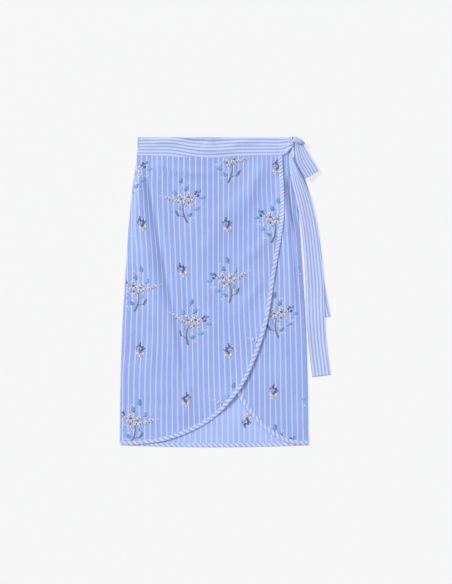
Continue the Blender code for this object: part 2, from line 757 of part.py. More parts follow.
def main():
    for obj in list(bpy.data.objects):
        bpy.data.objects.remove(obj)
    skirt = bpy.data.collections.new("wrap_skirt")
    bpy.context.scene.collection.children.link(skirt)
    wide = plain_cloth("striped_cloth", STRIPED_BLUE)
    narrow = plain_cloth("narrow_striped_cloth", PALE_STRIPE)

    binding("back_hem_binding", back_panel(wide, skirt), narrow, skirt)
    underlap = UNDERLAP_EDGE, 1, underlap_lie, UNDERLAP_COLUMNS, UNDERLAP_ROWS
    binding("underlap_binding", front_panel("underlap", *underlap, wide, skirt), narrow, skirt)
    overlap = OVERLAP_EDGE, -1, overlap_lie, OVERLAP_COLUMNS, OVERLAP_ROWS
    binding("overlap_binding", front_panel("overlap", *overlap, wide, skirt), narrow, skirt)

    short_tail = Tie(SHORT_TAIL, TAIL_STEPS, TAIL_TAUTNESS, [skirt_top])
    long_tail = Tie(LONG_TAIL, TAIL_STEPS, TAIL_TAUTNESS, [skirt_top, short_tail.top])
    beneath = [skirt_top, short_tail.top, long_tail.top]
    loop = Tie(BOW_LOOP, LOOP_STEPS, LOOP_TAUTNESS, beneath)
    flat_band("waistband_back", -TOP_HALF_WIDTH, back_band_lie, narrow, skirt)
    flat_band("waistband_under", UNDERLAP_EDGE[0].x, under_band_lie, narrow, skirt)
    front_band([short_tail.top, long_tail.top], narrow, skirt)
    tail("tie_tail_short", short_tail, narrow, skirt)
    tail("tie_tail_long", long_tail, narrow, skirt)
    bow_loop(loop, narrow, skirt)
    knot_turn(narrow, skirt)
    centre_on_origin(skirt.objects)


main()
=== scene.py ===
"""Wrap skirt laid flat, its sash tied in a half bow at the end of the waistband.

Metres, +Z up. Every piece is worked out from the middle of the hem, as the solids are, and then
moved to where the frame has it. A panel is a thin shell whose face follows the top of its solid,
and each binding, flower and stitch is made from the points of the panel that it lies on.
"""

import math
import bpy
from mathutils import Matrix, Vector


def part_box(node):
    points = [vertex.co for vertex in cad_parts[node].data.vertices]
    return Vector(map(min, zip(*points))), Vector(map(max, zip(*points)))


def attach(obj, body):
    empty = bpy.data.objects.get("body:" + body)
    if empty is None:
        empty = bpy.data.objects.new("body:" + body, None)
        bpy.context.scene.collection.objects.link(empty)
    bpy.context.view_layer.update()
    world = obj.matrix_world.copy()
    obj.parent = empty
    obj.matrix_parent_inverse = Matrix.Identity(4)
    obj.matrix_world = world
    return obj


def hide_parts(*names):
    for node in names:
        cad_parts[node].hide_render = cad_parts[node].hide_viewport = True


bl_info = {
    "name": "Wrap skirt",
    "version": (1, 0, 0),
    "blender": (4, 5, 0),
    "location": "View3D > Sidebar > Wrap skirt",
    "description": "Dresses the solids of a wrap skirt in striped, embroidered cotton",
    "category": "Object",
}

from typing import NamedTuple

import bmesh
import bpy
import numpy as np
from mathutils import Matrix, Vector

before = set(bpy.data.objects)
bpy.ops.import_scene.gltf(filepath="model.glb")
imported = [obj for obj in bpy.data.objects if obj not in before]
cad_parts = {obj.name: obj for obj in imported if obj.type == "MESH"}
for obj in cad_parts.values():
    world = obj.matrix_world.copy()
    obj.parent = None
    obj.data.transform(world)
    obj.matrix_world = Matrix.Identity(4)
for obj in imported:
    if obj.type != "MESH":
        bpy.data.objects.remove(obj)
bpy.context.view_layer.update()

# Where the frame has the middle of the hem
BACK_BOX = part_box("back_panel")
HEM_MIDDLE = Vector(((BACK_BOX[0].x + BACK_BOX[1].x) / 2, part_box("back_hem_binding")[0].y, 0))

# Cloth
CLOTH = 0.0012
BAND_CLOTH = 0.0016
SEAM_GAP = 0.0003
BINDING_WIDTH = 0.01
BINDING_WALL = 0.0004
TUBE_WALL = 0.0002

# Outline of the skirt, measured from the middle of the hem
WAIST_TOP = 0.75
WAIST_SEAM = 0.7065
WAIST_SEAM_SAG = 0.006
HALF_HEM = 0.2283
HEM_RISE = 0.0055
TOP_HALF_WIDTH = 0.187

# Heights at which the layers lie: a front panel on the back panel, the underlap on the back's
# binding, the overlap on the underlap's binding, and the overlap past that binding
SIDE_LIE = CLOTH + SEAM_GAP
UNDERLAP_LIE = 2 * (CLOTH + SEAM_GAP)
OVERLAP_LIE = UNDERLAP_LIE + 2 * (CLOTH + SEAM_GAP)
SETTLED_LIE = UNDERLAP_LIE + BAND_CLOTH + SEAM_GAP
BAND_DROP = (BAND_CLOTH - CLOTH) / 2
BACK_FACE = 0.001
SIDE_ROLL = 0.018
HEM_CLEARANCE = 0.014
HEM_ROLL = 0.04
WAIST_ROLL = 0.12
LIFT_RUN = 0.11
SIDE_TURN = 0.0015
SEAM_TUCK = 0.0022

# The mesh of each piece
OVERLAP_GRID = (140, 300)
UNDERLAP_GRID = (96, 270)
BACK_GRID = (120, 160)
BINDING_STEPS = 320
SECTION_FINENESS = 3
BAND_STEPS = 150
BAND_ROUND = 64
TAPER_STEPS = 30
TIE_STEPS = 200
TIE_ROUND = 36
KNOT_STEPS = 60
KNOT_COLUMNS = 20
CROWDING = 0.5
EDGE_CROWDING = 0.9
CURVE_SAMPLES = 48
NEAREST_SAMPLES = 24
NEAREST_STEPS = 3
SAG_START = 0.7
PLUMPNESS = 24
TOUCHING = 1e-6

# Side seam: a height, and half the width there
SIDE_SEAM = (
    (0.006, 0.2283), (0.115, 0.2272), (0.231, 0.2245), (0.347, 0.219), (0.443, 0.213),
    (0.541, 0.206), (0.618, 0.199), (0.676, 0.1905), (0.706, 0.187), (0.75, 0.181),
)
# Free edges, x and y, from the waist seam down and round to the hem's corner
OVERLAP_EDGE = (
    (0.1654, 0.706), (0.1697, 0.608), (0.1676, 0.54), (0.1492, 0.427), (0.1268, 0.294),
    (0.0826, 0.173), (0.0399, 0.111), (-0.0053, 0.0673), (-0.0571, 0.038), (-0.122, 0.0155),
    (-0.1868, 0.0072), (-0.2283, 0.0062),
)
UNDERLAP_EDGE = (
    (-0.042, 0.701), (-0.04, 0.6), (-0.035, 0.51), (-0.018, 0.39), (0.006, 0.27),
    (0.036, 0.17), (0.0745, 0.0995), (0.1147, 0.052), (0.1617, 0.0185), (0.195, 0.0085),
    (0.2283, 0.0062),
)
# Section of a binding: distance in from the edge, and rise off the panel
BINDING_SECTION = (
    (0.01, 0.0005), (0.0094, 0.0008), (0.008, 0.001), (0.0055, 0.0013), (0.003, 0.0013),
    (0.0014, 0.0011), (0.0005, 0.0006), (0.0001, -0.0002), (0.0006, -0.0008), (0.002, -0.001),
    (0.006, -0.001), (0.0096, -0.0009),
)
# Distance along an edge from one stripe of its binding to the next, and on the overlap's edge
# the shorter one above the height where it changes
BINDING_RUN = 0.013
UPPER_RUN = 0.0087
RUN_CHANGE = 0.4
RUN_CHANGE_HEIGHT = 0.1


class Fold(NamedTuple):
    """A soft ridge along a curve from its top through a bend to its foot. The widths are on the
    left and right of someone who walks it from the top, and a fade is a share of its length."""

    top: tuple
    bend: tuple
    foot: tuple
    height: float
    left: float
    right: float
    top_fade: float
    foot_fade: float


class Trough(NamedTuple):
    """A sharp trough along a curve from its top through a bend to its foot, with the height that
    the cloth gains on each side of it and how far off, as someone who walks it sees them."""

    top: tuple
    bend: tuple
    foot: tuple
    left_rise: float
    left_run: float
    right_rise: float
    right_run: float
    top_fade: float
    foot_fade: float


OVERLAP_FOLDS = (
    # the swag that hangs from the knot, and the drag lines beside it
    Fold((0.126, 0.702), (0.067, 0.541), (-0.06, 0.548), 0.0034, 0.034, 0.02, 0.1, 0.5),
    Fold((0.12, 0.694), (0.087, 0.629), (0.08, 0.56), 0.002, 0.012, 0.016, 0.25, 0.4),
    Fold((0.034, 0.56), (-0.01, 0.5), (-0.053, 0.434), 0.0028, 0.026, 0.02, 0.4, 0.4),
    Fold((0.148, 0.524), (0.105, 0.478), (0.05, 0.44), 0.0026, 0.016, 0.014, 0.25, 0.45),
    # the slack under the waistband, and a drag line from its other end
    Fold((-0.15, 0.697), (-0.09, 0.654), (0.03, 0.664), 0.0044, 0.01, 0.012, 0.25, 0.45),
    Fold((-0.139, 0.7), (-0.118, 0.65), (-0.108, 0.6), 0.0016, 0.008, 0.009, 0.15, 0.5),
    # the two arms of a shallow fork towards the free edge
    Fold((-0.055, 0.4), (-0.01, 0.33), (0.058, 0.27), 0.0028, 0.018, 0.014, 0.35, 0.35),
    Fold((0.13, 0.43), (0.095, 0.37), (0.055, 0.32), 0.0022, 0.014, 0.016, 0.35, 0.4),
    # the lifted stretches of the free edge
    Fold((0.163, 0.67), (0.175, 0.61), (0.167, 0.535), 0.0055, 0.012, 0.013, 0.5, 0.5),
    Fold((0.15, 0.4), (0.118, 0.215), (0.02, 0.085), 0.0018, 0.03, 0.02, 0.25, 0.3),
    # slack above the hem
    Fold((-0.06, 0.19), (-0.062, 0.13), (-0.066, 0.07), 0.0018, 0.014, 0.018, 0.5, 0.4),
    Fold((-0.152, 0.29), (-0.156, 0.225), (-0.158, 0.15), 0.0018, 0.013, 0.016, 0.45, 0.45),
    Fold((-0.175, 0.092), (-0.11, 0.074), (-0.035, 0.074), 0.0014, 0.018, 0.012, 0.4, 0.4),
)
# The long fold from the side of the waist, and the narrow crease that carries it on
OVERLAP_TROUGHS = (
    Trough((-0.17, 0.69), (-0.118, 0.44), (-0.063, 0.115), 0.002, 0.018, 0.0094, 0.031, 0.08, 0.54),
    Trough((-0.106, 0.41), (-0.083, 0.28), (-0.066, 0.14), 0.0008, 0.008, 0.0032, 0.012, 0.4, 0.45),
)
# Slack beside the underlap's free edge
UNDERLAP_FOLDS = (
    Fold((0.15, 0.33), (0.172, 0.22), (0.18, 0.09), 0.0018, 0.022, 0.016, 0.45, 0.45),
)
# The hollow beside the overlap's edge, and the one beside the side seam that carries it on
UNDERLAP_TROUGHS = (
    Trough((0.176, 0.67), (0.183, 0.59), (0.199, 0.51), 0.0, 0.01, 0.0074, 0.013, 0.2, 0.35),
    Trough((0.182, 0.57), (0.197, 0.47), (0.209, 0.25), 0.0018, 0.008, 0.003, 0.012, 0.25, 0.45),
)
# Low creases of the back panel, which lies flat under the others
BACK_FOLDS = (
    Fold((-0.14, 0.69), (-0.11, 0.52), (-0.12, 0.36), 0.0009, 0.014, 0.02, 0.3, 0.4),
    Fold((0.09, 0.7), (0.06, 0.56), (-0.02, 0.47), 0.0009, 0.016, 0.012, 0.2, 0.5),
    Fold((0.15, 0.48), (0.13, 0.33), (0.145, 0.18), 0.0008, 0.018, 0.014, 0.4, 0.4),
    Fold((-0.06, 0.33), (-0.03, 0.22), (-0.045, 0.09), 0.0009, 0.014, 0.018, 0.4, 0.4),
    Fold((0.05, 0.15), (0.066, 0.09), (0.062, 0.02), 0.001, 0.01, 0.014, 0.4, 0.4),
)
# Wrinkles of the front waistband
BAND_FOLDS = (
    Fold((-0.16, 0.737), (-0.12, 0.742), (-0.08, 0.735), 0.0028, 0.007, 0.006, 0.35, 0.4),
    Fold((-0.07, 0.729), (0.0, 0.712), (0.07, 0.722), 0.0034, 0.008, 0.007, 0.4, 0.4),
    Fold((0.03, 0.732), (0.065, 0.742), (0.12, 0.736), 0.003, 0.007, 0.006, 0.4, 0.4),
)
# The hollow under its upper edge, and the short crease in it
BAND_TROUGHS = (
    Trough((-0.096, 0.7455), (-0.04, 0.7405), (0.044, 0.7425), 0.0044, 0.0085, 0.0, 0.004, 0.3, 0.4),
    Trough((-0.024, 0.741), (-0.01, 0.733), (0.004, 0.737), 0.0018, 0.004, 0.0018, 0.004, 0.3, 0.3),
)

# How far the stripes stray from an even pitch. Each row has a height and the stray there, at six
# places spread evenly over the span.
OVERLAP_SPAN = (-0.225, 0.15)
OVERLAP_DRIFT = (
    (0.03, 0.0048, 0.0061, 0.0073, 0.0085, 0.0085, 0.0085),
    (0.16, 0.0053, 0.0065, 0.0051, 0.0022, 0.0051, 0.0051),
    (0.29, 0.0085, 0.009, 0.0034, 0.0, -0.0024, -0.0036),
    (0.42, 0.0073, 0.007, 0.0012, 0.0, -0.0068, -0.0109),
    (0.55, 0.0022, -0.0007, -0.0034, 0.0, -0.0068, -0.0145),
    (0.68, -0.0024, -0.0048, -0.0046, 0.0, -0.0068, -0.0192),
)
UNDERLAP_SPAN = (-0.055, 0.245)
UNDERLAP_DRIFT = (
    (0.03, 0.004, 0.004, 0.004, 0.004, 0.0035, 0.0035),
    (0.16, 0.003, 0.003, 0.003, 0.003, 0.0015, 0.0024),
    (0.29, 0.0018, 0.0018, 0.0018, 0.0018, -0.0012, -0.001),
    (0.42, 0.0, 0.0, 0.0, 0.0, -0.004, -0.012),
    (0.55, -0.005, -0.005, -0.005, -0.006, -0.013, -0.026),
    (0.68, -0.01, -0.01, -0.01, -0.014, -0.026, -0.046),
)
OVERLAP_STRIPE = -0.0024
UNDERLAP_STRIPE = 0.172
BACK_STRIPE = 0.0068
FOLD_SLACK = 2.0
GRAIN_STEP = 0.002
SHORT_OF_LAST = 1.001

# The front waistband where it gathers towards the knot: x, lower edge, upper edge and gathers
BAND_TAPER = (
    (0.156, 0.7046, 0.75, 0.0),
    (0.167, 0.7056, 0.75, 0.0014),
    (0.176, 0.7105, 0.7496, 0.003),
    (0.184, 0.719, 0.745, 0.0036),
    (0.1925, 0.729, 0.736, 0.0018),
)
# A distance from the middle, and how far the waistband's stripes have slipped down there
BAND_DRIFT = (
    (-0.19, 0.0012), (-0.16, 0.0), (-0.136, -0.0007), (-0.109, -0.001), (-0.083, 0.0012),
    (-0.058, 0.0048), (-0.034, 0.007), (-0.003, 0.0077), (0.026, 0.0063), (0.063, 0.0046),
    (0.101, 0.0046), (0.15, 0.0056), (0.2, 0.005),
)
BAND_CUT = 0.0492
BAND_HALF = 0.0007
BAND_GATHERS = 3

# Ties, by the middle of each section, x and y, its width, its height and its gathers. The height
# is above what a tie lies on, and for the knot's turn it is the underside's own.
SHORT_TAIL = (
    (0.195, 0.74, 0.0084, 0.0, 0.0004), (0.1959, 0.727, 0.0088, 0.0, 0.0004),
    (0.1976, 0.711, 0.0092, 0.0, 0.0004), (0.1976, 0.698, 0.0138, 0.0, 0.0006),
    (0.2005, 0.684, 0.016, 0.0, 0.0008), (0.203, 0.67, 0.022, 0.0, 0.001),
    (0.2083, 0.64, 0.03, 0.0, 0.0008), (0.2165, 0.6, 0.036, 0.0, 0.0005),
    (0.2255, 0.56, 0.038, 0.0, 0.0003), (0.2325, 0.52, 0.04, 0.0, 0.0),
    (0.2375, 0.477, 0.042, 0.0, 0.0), (0.2436, 0.405, 0.045, 0.0, 0.0),
    (0.2515, 0.36, 0.045, 0.0, 0.0), (0.2604, 0.313, 0.045, 0.0, 0.0),
)
LONG_TAIL = (
    (0.189, 0.74, 0.006, 0.0, 0.0002), (0.1868, 0.727, 0.005, 0.0, 0.0002),
    (0.185, 0.711, 0.0066, 0.0, 0.0003), (0.1856, 0.6995, 0.009, 0.0, 0.0006),
    (0.1885, 0.687, 0.014, 0.0, 0.0008), (0.1935, 0.67, 0.021, 0.0, 0.001),
    (0.203, 0.64, 0.03, 0.0, 0.0008), (0.2158, 0.6, 0.036, 0.0, 0.0006),
    (0.2252, 0.56, 0.038, 0.0, 0.0003), (0.2318, 0.52, 0.04, 0.0, 0.0),
    (0.2365, 0.477, 0.041, 0.0, 0.0), (0.2428, 0.405, 0.045, 0.0, 0.0),
    (0.245, 0.34, 0.045, 0.0, 0.0), (0.2465, 0.302, 0.045, 0.0, 0.0),
    (0.2486, 0.27, 0.045, 0.0, 0.0), (0.252, 0.238, 0.045, 0.0, 0.0),
    (0.26, 0.173, 0.046, 0.0, 0.0),
)
BOW_LOOP = (
    (0.2036, 0.74, 0.015, 0.0006, 0.0004), (0.2053, 0.73, 0.0205, 0.0008, 0.0008),
    (0.209, 0.7165, 0.0285, 0.0008, 0.0006), (0.2182, 0.6915, 0.0375, 0.0004, 0.0003),
    (0.2371, 0.6598, 0.0377, 0.0, 0.0),
)
# The third section is the crease where the turn comes out from under itself
KNOT_TURN = (
    (0.185, 0.7476, 0.006, 0.0112, 0.0004), (0.1874, 0.747, 0.0085, 0.0146, 0.001),
    (0.1896, 0.7463, 0.009, 0.0118, 0.0004), (0.1925, 0.7454, 0.011, 0.0144, 0.0014),
    (0.196, 0.7441, 0.0116, 0.015, 0.0018), (0.2015, 0.7418, 0.0115, 0.015, 0.0018),
    (0.2075, 0.739, 0.0105, 0.0144, 0.0016), (0.213, 0.7365, 0.0085, 0.0126, 0.0008),
    (0.216, 0.7352, 0.0072, 0.01, 0.0002), (0.2178, 0.7344, 0.0065, 0.005, 0.0),
    (0.2183, 0.7342, 0.006, 0.0004, 0.0),
)
SASH_WIDTH = 0.046
LOOP_PINCH = 0.0022
LOOP_SPREAD = 0.004
LOOP_TURN_STEPS = 6
TIE_COLUMNS = 8
TAIL_STEPS = 32
LOOP_STEPS = 12
TIE_GATHERS = 2
TIE_HALF = 0.0006

# How a tie comes down beside what it lies on
REST_GAP = 0.0006
REST_SHELF = 0.005
REST_SLOPE = 0.55
REST_REACH = 0.02
REST_RINGS = 11
REST_SPOKES = 16
STATION_REACH = 0.55
TAIL_TAUTNESS = 6
LOOP_TAUTNESS = 40


# Properties: the sizes and colours that a user would change


def length_property(name, description, default):
    return bpy.props.FloatProperty(
        name=name, description=description, default=default, unit="LENGTH", precision=5
    )


def colour_property(name, description, default):
    """A colour as it is displayed."""
    settings = {"size": 3, "min": 0, "max": 1, "subtype": "COLOR_GAMMA"}
    return bpy.props.FloatVectorProperty(
        name=name, description=description, default=default, **settings
    )


class WrapSkirtSizes(bpy.types.PropertyGroup):
    """Sizes of the cloth, its stripes and its yarns"""

    shell: length_property("Cloth", "Thickness of the shown cloth", 0.0005)
    pinstripe_pitch: length_property("Pinstripe pitch", "From one white line to the next", 0.01319)
    pinstripe_width: length_property("Pinstripe width", "Width of a white line", 0.0023)
    sash_pitch: length_property("Sash stripe pitch", "Pitch of the narrow stripes", 0.0082)
    yarn: length_property("Yarn pitch", "From one yarn of the weave to the next", 0.0005)


class WrapSkirtColours(bpy.types.PropertyGroup):
    """Colours of the cloth and of the embroidery's threads"""

    blue: colour_property("Blue", "Ground of the panels", (0.583, 0.658, 0.893))
    inner_blue: colour_property("Inner blue", "Ground of the wrong side", (0.638, 0.712, 0.932))
    white: colour_property("White", "Lines on the panels", (0.8, 0.85, 0.998))
    sash_blue: colour_property("Sash blue", "Dark lines of the sash", (0.61, 0.665, 0.85))
    sash_white: colour_property("Sash white", "Pale lines of the sash", (0.778, 0.828, 0.978))
    cream: colour_property("Cream thread", "Blossoms", (0.87, 0.87, 0.87))
    blush: colour_property("Blush thread", "Blossoms", (0.78, 0.77, 0.82))
    beige: colour_property("Beige thread", "Blossoms and stems", (0.68, 0.68, 0.76))
    navy: colour_property("Navy thread", "Pansies and the middles of blossoms", (0.36, 0.39, 0.59))
    brown: colour_property("Brown thread", "Middles of pansies", (0.44, 0.43, 0.48))
    gold: colour_property("Gold thread", "Lower petals of pansies", (0.76, 0.71, 0.67))
    teal: colour_property("Teal thread", "Leaves", (0.42, 0.63, 0.81))
    pale_teal: colour_property("Pale teal thread", "Leaves", (0.52, 0.7, 0.88))
    olive: colour_property("Olive thread", "Stems", (0.46, 0.51, 0.52))
    mist: colour_property("Mist thread", "Sprigs and machine stitches", (0.8, 0.85, 0.97))
    floor: colour_property("Floor", "Floor under the skirt", (0.958, 0.958, 0.958))


# Shape functions


def smooth(share):
    """0 below 0, 1 above 1, and an easy curve between."""
    share = np.clip(share, 0.0, 1.0)
    return share * share * (3 - 2 * share)


def finer(values, steps):
    """A run of evenly spaced values as steps + 1 of them, by a smooth curve through them."""
    values = np.asarray(values, float)
    padded = np.concatenate([[2 * values[0] - values[1]], values, [2 * values[-1] - values[-2]]])
    place = np.linspace(0, len(values) - 1, steps + 1)
    k = np.minimum(place.astype(int), len(values) - 2)
    u = (place - k).reshape(-1, *[1] * (values.ndim - 1))
    a, b, c, d = (padded[k + i] for i in range(4))
    bow = (2 * a - 5 * b + 4 * c - d) * u * u + (3 * b - a - 3 * c + d) * u**3
    return b + 0.5 * ((c - a) * u + bow)


def half_width(y):
    """Half the width of the skirt at height y, by a smooth curve through the side seam's rows."""
    heights, widths = np.array(SIDE_SEAM).T
    slopes = np.gradient(widths, heights)
    y = np.clip(y, heights[0], heights[-1])
    k = np.clip(np.searchsorted(heights, y) - 1, 0, len(heights) - 2)
    run = heights[k + 1] - heights[k]
    u = (y - heights[k]) / run
    rise = (2 * u**3 - 3 * u**2 + 1) * widths[k] + (3 * u**2 - 2 * u**3) * widths[k + 1]
    return rise + run * ((u**3 - 2 * u**2 + u) * slopes[k] + (u**3 - u**2) * slopes[k + 1])


def hem_height(x):
    """Height of the back's bound hem, which curves up to its corners."""
    return HEM_RISE * (x / HALF_HEM) ** 2


def waist_seam(x):
    """Height of the waistband's lower edge."""
    return WAIST_SEAM - WAIST_SEAM_SAG * (1 - (x / TOP_HALF_WIDTH) ** 2)


def travelled(path):
    """Distance in the plan from the start of a path to each of its points."""
    return np.concatenate([[0], np.cumsum(np.hypot(*np.diff(path[:, :2], axis=0).T))])


def smooth_path(rows, steps):
    """A smooth curve through the rows, as steps + 1 rows evenly spaced in the plan."""
    fine = finer(rows, CURVE_SAMPLES * (len(rows) - 1))
    travel = travelled(fine)
    even = np.linspace(0, travel[-1], steps + 1)
    return np.column_stack([np.interp(even, travel, column) for column in fine.T])


def inward(path, side):
    """Unit vectors in the plan at right angles to a path, on its left for side 1."""
    ahead = np.gradient(path[:, :2], axis=0)
    ahead /= np.hypot(*ahead.T)[:, None]
    return side * np.column_stack([-ahead[:, 1], ahead[:, 0]])


def gathered(count, t):
    """A wave of so many gathers over the shares t, from 0 up to 1 and back."""
    return 0.5 - 0.5 * np.cos(2 * math.pi * count * t)


def beside(fold, x, y):
    """How far each point is to the left of a fold's curve, how far squared it is past the ends,
    and how full the fold is beside it."""
    samples = np.linspace(0, 1, NEAREST_SAMPLES)[:, None]
    top, bend, foot = (np.array(p) for p in (fold.top, fold.bend, fold.foot))
    bow = top - 2 * bend + foot
    crest = top + 2 * samples * (bend - top) + samples**2 * bow
    apart = (x[..., None] - crest[:, 0]) ** 2 + (y[..., None] - crest[:, 1]) ** 2
    u = samples[np.argmin(apart, axis=-1), 0]
    for _ in range(NEAREST_STEPS):
        ahead = [2 * (bend[i] - top[i]) + 2 * u * bow[i] for i in range(2)]
        on = [top[i] + 2 * u * (bend[i] - top[i]) + u * u * bow[i] for i in range(2)]
        away = x - on[0], y - on[1]
        length = np.hypot(*ahead)
        along = (away[0] * ahead[0] + away[1] * ahead[1]) / length
        u = np.clip(u + along / length, 0, 1)
    across = (away[1] * ahead[0] - away[0] * ahead[1]) / length
    full = smooth(u / fold.top_fade) * smooth((1 - u) / fold.foot_fade)
    return across, np.maximum(np.hypot(*away) ** 2 - across**2, 0), full


def fold_rise(folds, troughs, x, y):
    """Height that ridges and troughs add at each point."""
    rise = np.zeros_like(x)
    for fold in folds:
        across, beyond, full = beside(fold, x, y)
        width = np.where(across > 0, fold.left, fold.right)
        rise += fold.height * full * np.exp(-(across**2 + beyond) / width**2)
    for trough in troughs:
        across, beyond, full = beside(trough, x, y)
        run = np.where(across > 0, trough.left_run, trough.right_run)
        height = np.where(across > 0, trough.left_rise, trough.right_rise)
        off = np.abs(across) / run
        rise += height * full * off * np.exp((1 - off**2) / 2 - beyond / run**2)
    return rise


def side_lie(inset, y, lie):
    """Lowers a panel's lie near its side seam, where it comes down onto the back panel."""
    roll = smooth((y - HEM_CLEARANCE) / HEM_ROLL) * (1 - smooth(inset / SIDE_ROLL))
    return lie + (SIDE_LIE - lie) * roll


def underlap_lie(x, y):
    """Height of the underlap's underside."""
    inset = half_width(y) - x
    folds = fold_rise(UNDERLAP_FOLDS, UNDERLAP_TROUGHS, x, y) * smooth(inset / SIDE_ROLL)
    return side_lie(inset, y, UNDERLAP_LIE) + folds


def underlap_edge_x(y):
    """Where the underlap's free edge is at height y."""
    x, heights = np.array(UNDERLAP_EDGE[::-1]).T
    return np.interp(y, heights, x)


def overlap_base(x, y):
    """Height of the overlap's underside but for its folds: from the back panel, which it reaches
    away from the hem and the waist, up over the underlap's binding and down past it."""
    settled = smooth((y - HEM_CLEARANCE) / HEM_ROLL) * smooth((WAIST_SEAM - y) / WAIST_ROLL)
    low = UNDERLAP_LIE + (SIDE_LIE - UNDERLAP_LIE) * settled
    past = x - underlap_edge_x(y)
    rise = (OVERLAP_LIE - low) * smooth((past + LIFT_RUN) / LIFT_RUN)
    return low + rise + (SETTLED_LIE - OVERLAP_LIE) * smooth((past - BINDING_WIDTH) / LIFT_RUN)


def overlap_lie(x, y):
    """Height of the overlap's underside, which stays clear of the underlap."""
    inset = x + half_width(y)
    folds = fold_rise(OVERLAP_FOLDS, OVERLAP_TROUGHS, x, y) * smooth(inset / SIDE_ROLL)
    lie = side_lie(inset, y, overlap_base(x, y)) + folds
    clear = underlap_lie(x, y) + CLOTH + SEAM_GAP
    return np.where(x > underlap_edge_x(y), np.maximum(lie, clear), lie)


def side_turn(inset):
    """How far a front panel's face turns down to the back panel at its side seam."""
    return (SIDE_LIE + CLOTH - BACK_FACE) * (1 - smooth(inset / SIDE_TURN))


def overlap_face(x, y):
    """Height of the overlap's face."""
    return overlap_lie(x, y) + CLOTH - side_turn(x + half_width(y))


def underlap_face(x, y):
    """Height of the underlap's face."""
    return underlap_lie(x, y) + CLOTH - side_turn(half_width(y) - x)


def back_face(x, y):
    """Height of the back panel's upper side."""
    inset = half_width(y) - np.abs(x)
    return BACK_FACE + fold_rise(BACK_FOLDS, (), x, y) * smooth(inset / SIDE_ROLL)


# Stripes


def sampled(raster, first, step, x, y):
    """Values of a raster at points, between its four nearest samples."""
    column = np.clip((x - first[0]) / step, 0, raster.shape[1] - SHORT_OF_LAST)
    row = np.clip((y - first[1]) / step, 0, raster.shape[0] - SHORT_OF_LAST)
    i, j = column.astype(int), row.astype(int)
    u, v = column - i, row - j
    low = raster[j, i] * (1 - u) + raster[j, i + 1] * u
    high = raster[j + 1, i] * (1 - u) + raster[j + 1, i + 1] * u
    return low * (1 - v) + high * v


def stripe_grain(lie, span, drift, stripe):
    """A function that gives the distance across the stripes at each point of a panel. Cloth that
    rises over a fold takes more stripes, and the drift says how the rest of the panel eases."""
    heights = [row[0] for row in drift]
    first = np.array([span[0], heights[0]])
    columns = round((span[1] - span[0]) / GRAIN_STEP)
    rows = round((heights[-1] - heights[0]) / GRAIN_STEP)
    x = np.linspace(*span, columns + 1)
    y = np.linspace(heights[0], heights[-1], rows + 1)
    x, y = np.meshgrid(x, y)
    slope = np.gradient(lie(x, y), GRAIN_STEP, axis=1)
    run = np.cumsum(np.sqrt(1 + (FOLD_SLACK * slope) ** 2) - 1, axis=1) * GRAIN_STEP
    middle = np.clip(round((stripe - span[0]) / GRAIN_STEP), 0, columns)
    stray = finer(finer([row[1:] for row in drift], rows).T, columns).T
    extra = run - run[:, middle : middle + 1] - stray

    def grain(x, y):
        return x - stripe + sampled(extra, first, GRAIN_STEP, x, y)

    return grain


# Nodes


class Value:
    """A socket to which Python's arithmetic adds Math nodes."""

    def __init__(self, finish, socket):
        self.finish = finish
        self.socket = socket

    def math(self, operation, *others):
        inputs = dict(enumerate((self, *others)))
        return self.finish.node("ShaderNodeMath", inputs, operation=operation)

    def __add__(self, other):
        return self.math("ADD", other)

    def __sub__(self, other):
        return self.math("SUBTRACT", other)

    def __rsub__(self, other):
        return self.math("MULTIPLY", -1.0).math("ADD", other)

    def __mul__(self, other):
        return self.math("MULTIPLY", other)

    def __truediv__(self, other):
        return self.math("DIVIDE", other)

    __radd__ = __add__
    __rmul__ = __mul__

    def ramp(self, low, high):
        """0 where the value is at low, 1 at high, and an easy curve between."""
        inputs = {"Value": self, "From Min": low, "From Max": high}
        return self.finish.node("ShaderNodeMapRange", inputs, interpolation_type="SMOOTHSTEP")


class Finish:
    """A material and the nodes that make it."""

    def __init__(self, name, roughness, sheen=0.0):
        self.material = bpy.data.materials.new(name)
        self.material.use_nodes = True
        self.tree = self.material.node_tree
        self.shader = self.tree.nodes["Principled BSDF"]
        self.shader.inputs["Roughness"].default_value = roughness
        self.shader.inputs["Sheen Weight"].default_value = sheen
        self.shader.inputs["Specular IOR Level"].default_value = 0.3

    def node(self, kind, inputs, output=0, **settings):
        """Adds a node: its settings first, then the values and links of its sockets."""
        made = self.tree.nodes.new(kind)
        for name, setting in settings.items():
            setattr(made, name, setting)
        for name, value in inputs.items():
            if isinstance(value, Value):
                self.tree.links.new(value.socket, made.inputs[name])
            else:
                made.inputs[name].default_value = value
        return Value(self, made.outputs[output])

    def mix(self, factor, a, b):
        """A colour between two others."""
        inputs = {0: factor}
        for socket, colour in ((6, a), (7, b)):
            inputs[socket] = colour if isinstance(colour, Value) else (*colour, 1)
        return self.node("ShaderNodeMix", inputs, output=2, data_type="RGBA")

    def noise(self, vector, scale, detail=2.0):
        inputs = {"Vector": vector, "Scale": scale, "Detail": detail}
        return self.node("ShaderNodeTexNoise", inputs)

    def place(self):
        """The place of each point on its piece."""
        return self.node("ShaderNodeTexCoord", {}, output="Object")

    def grain(self):
        """The distances across and along the grain, in metres."""
        uv = self.node("ShaderNodeUVMap", {}, uv_map="grain")
        return [self.node("ShaderNodeSeparateXYZ", {0: uv}, output=i) for i in range(2)]

    def finish(self, colour, height=None, distance=0.0, strength=0.0):
        """Gives the shader its colour and its relief, and returns the material."""
        self.tree.links.new(colour.socket, self.shader.inputs["Base Color"])
        if height:
            inputs = {"Height": height, "Distance": distance, "Strength": strength}
            bump = self.node("ShaderNodeBump", inputs)
            self.tree.links.new(bump.socket, self.shader.inputs["Normal"])
        return self.material


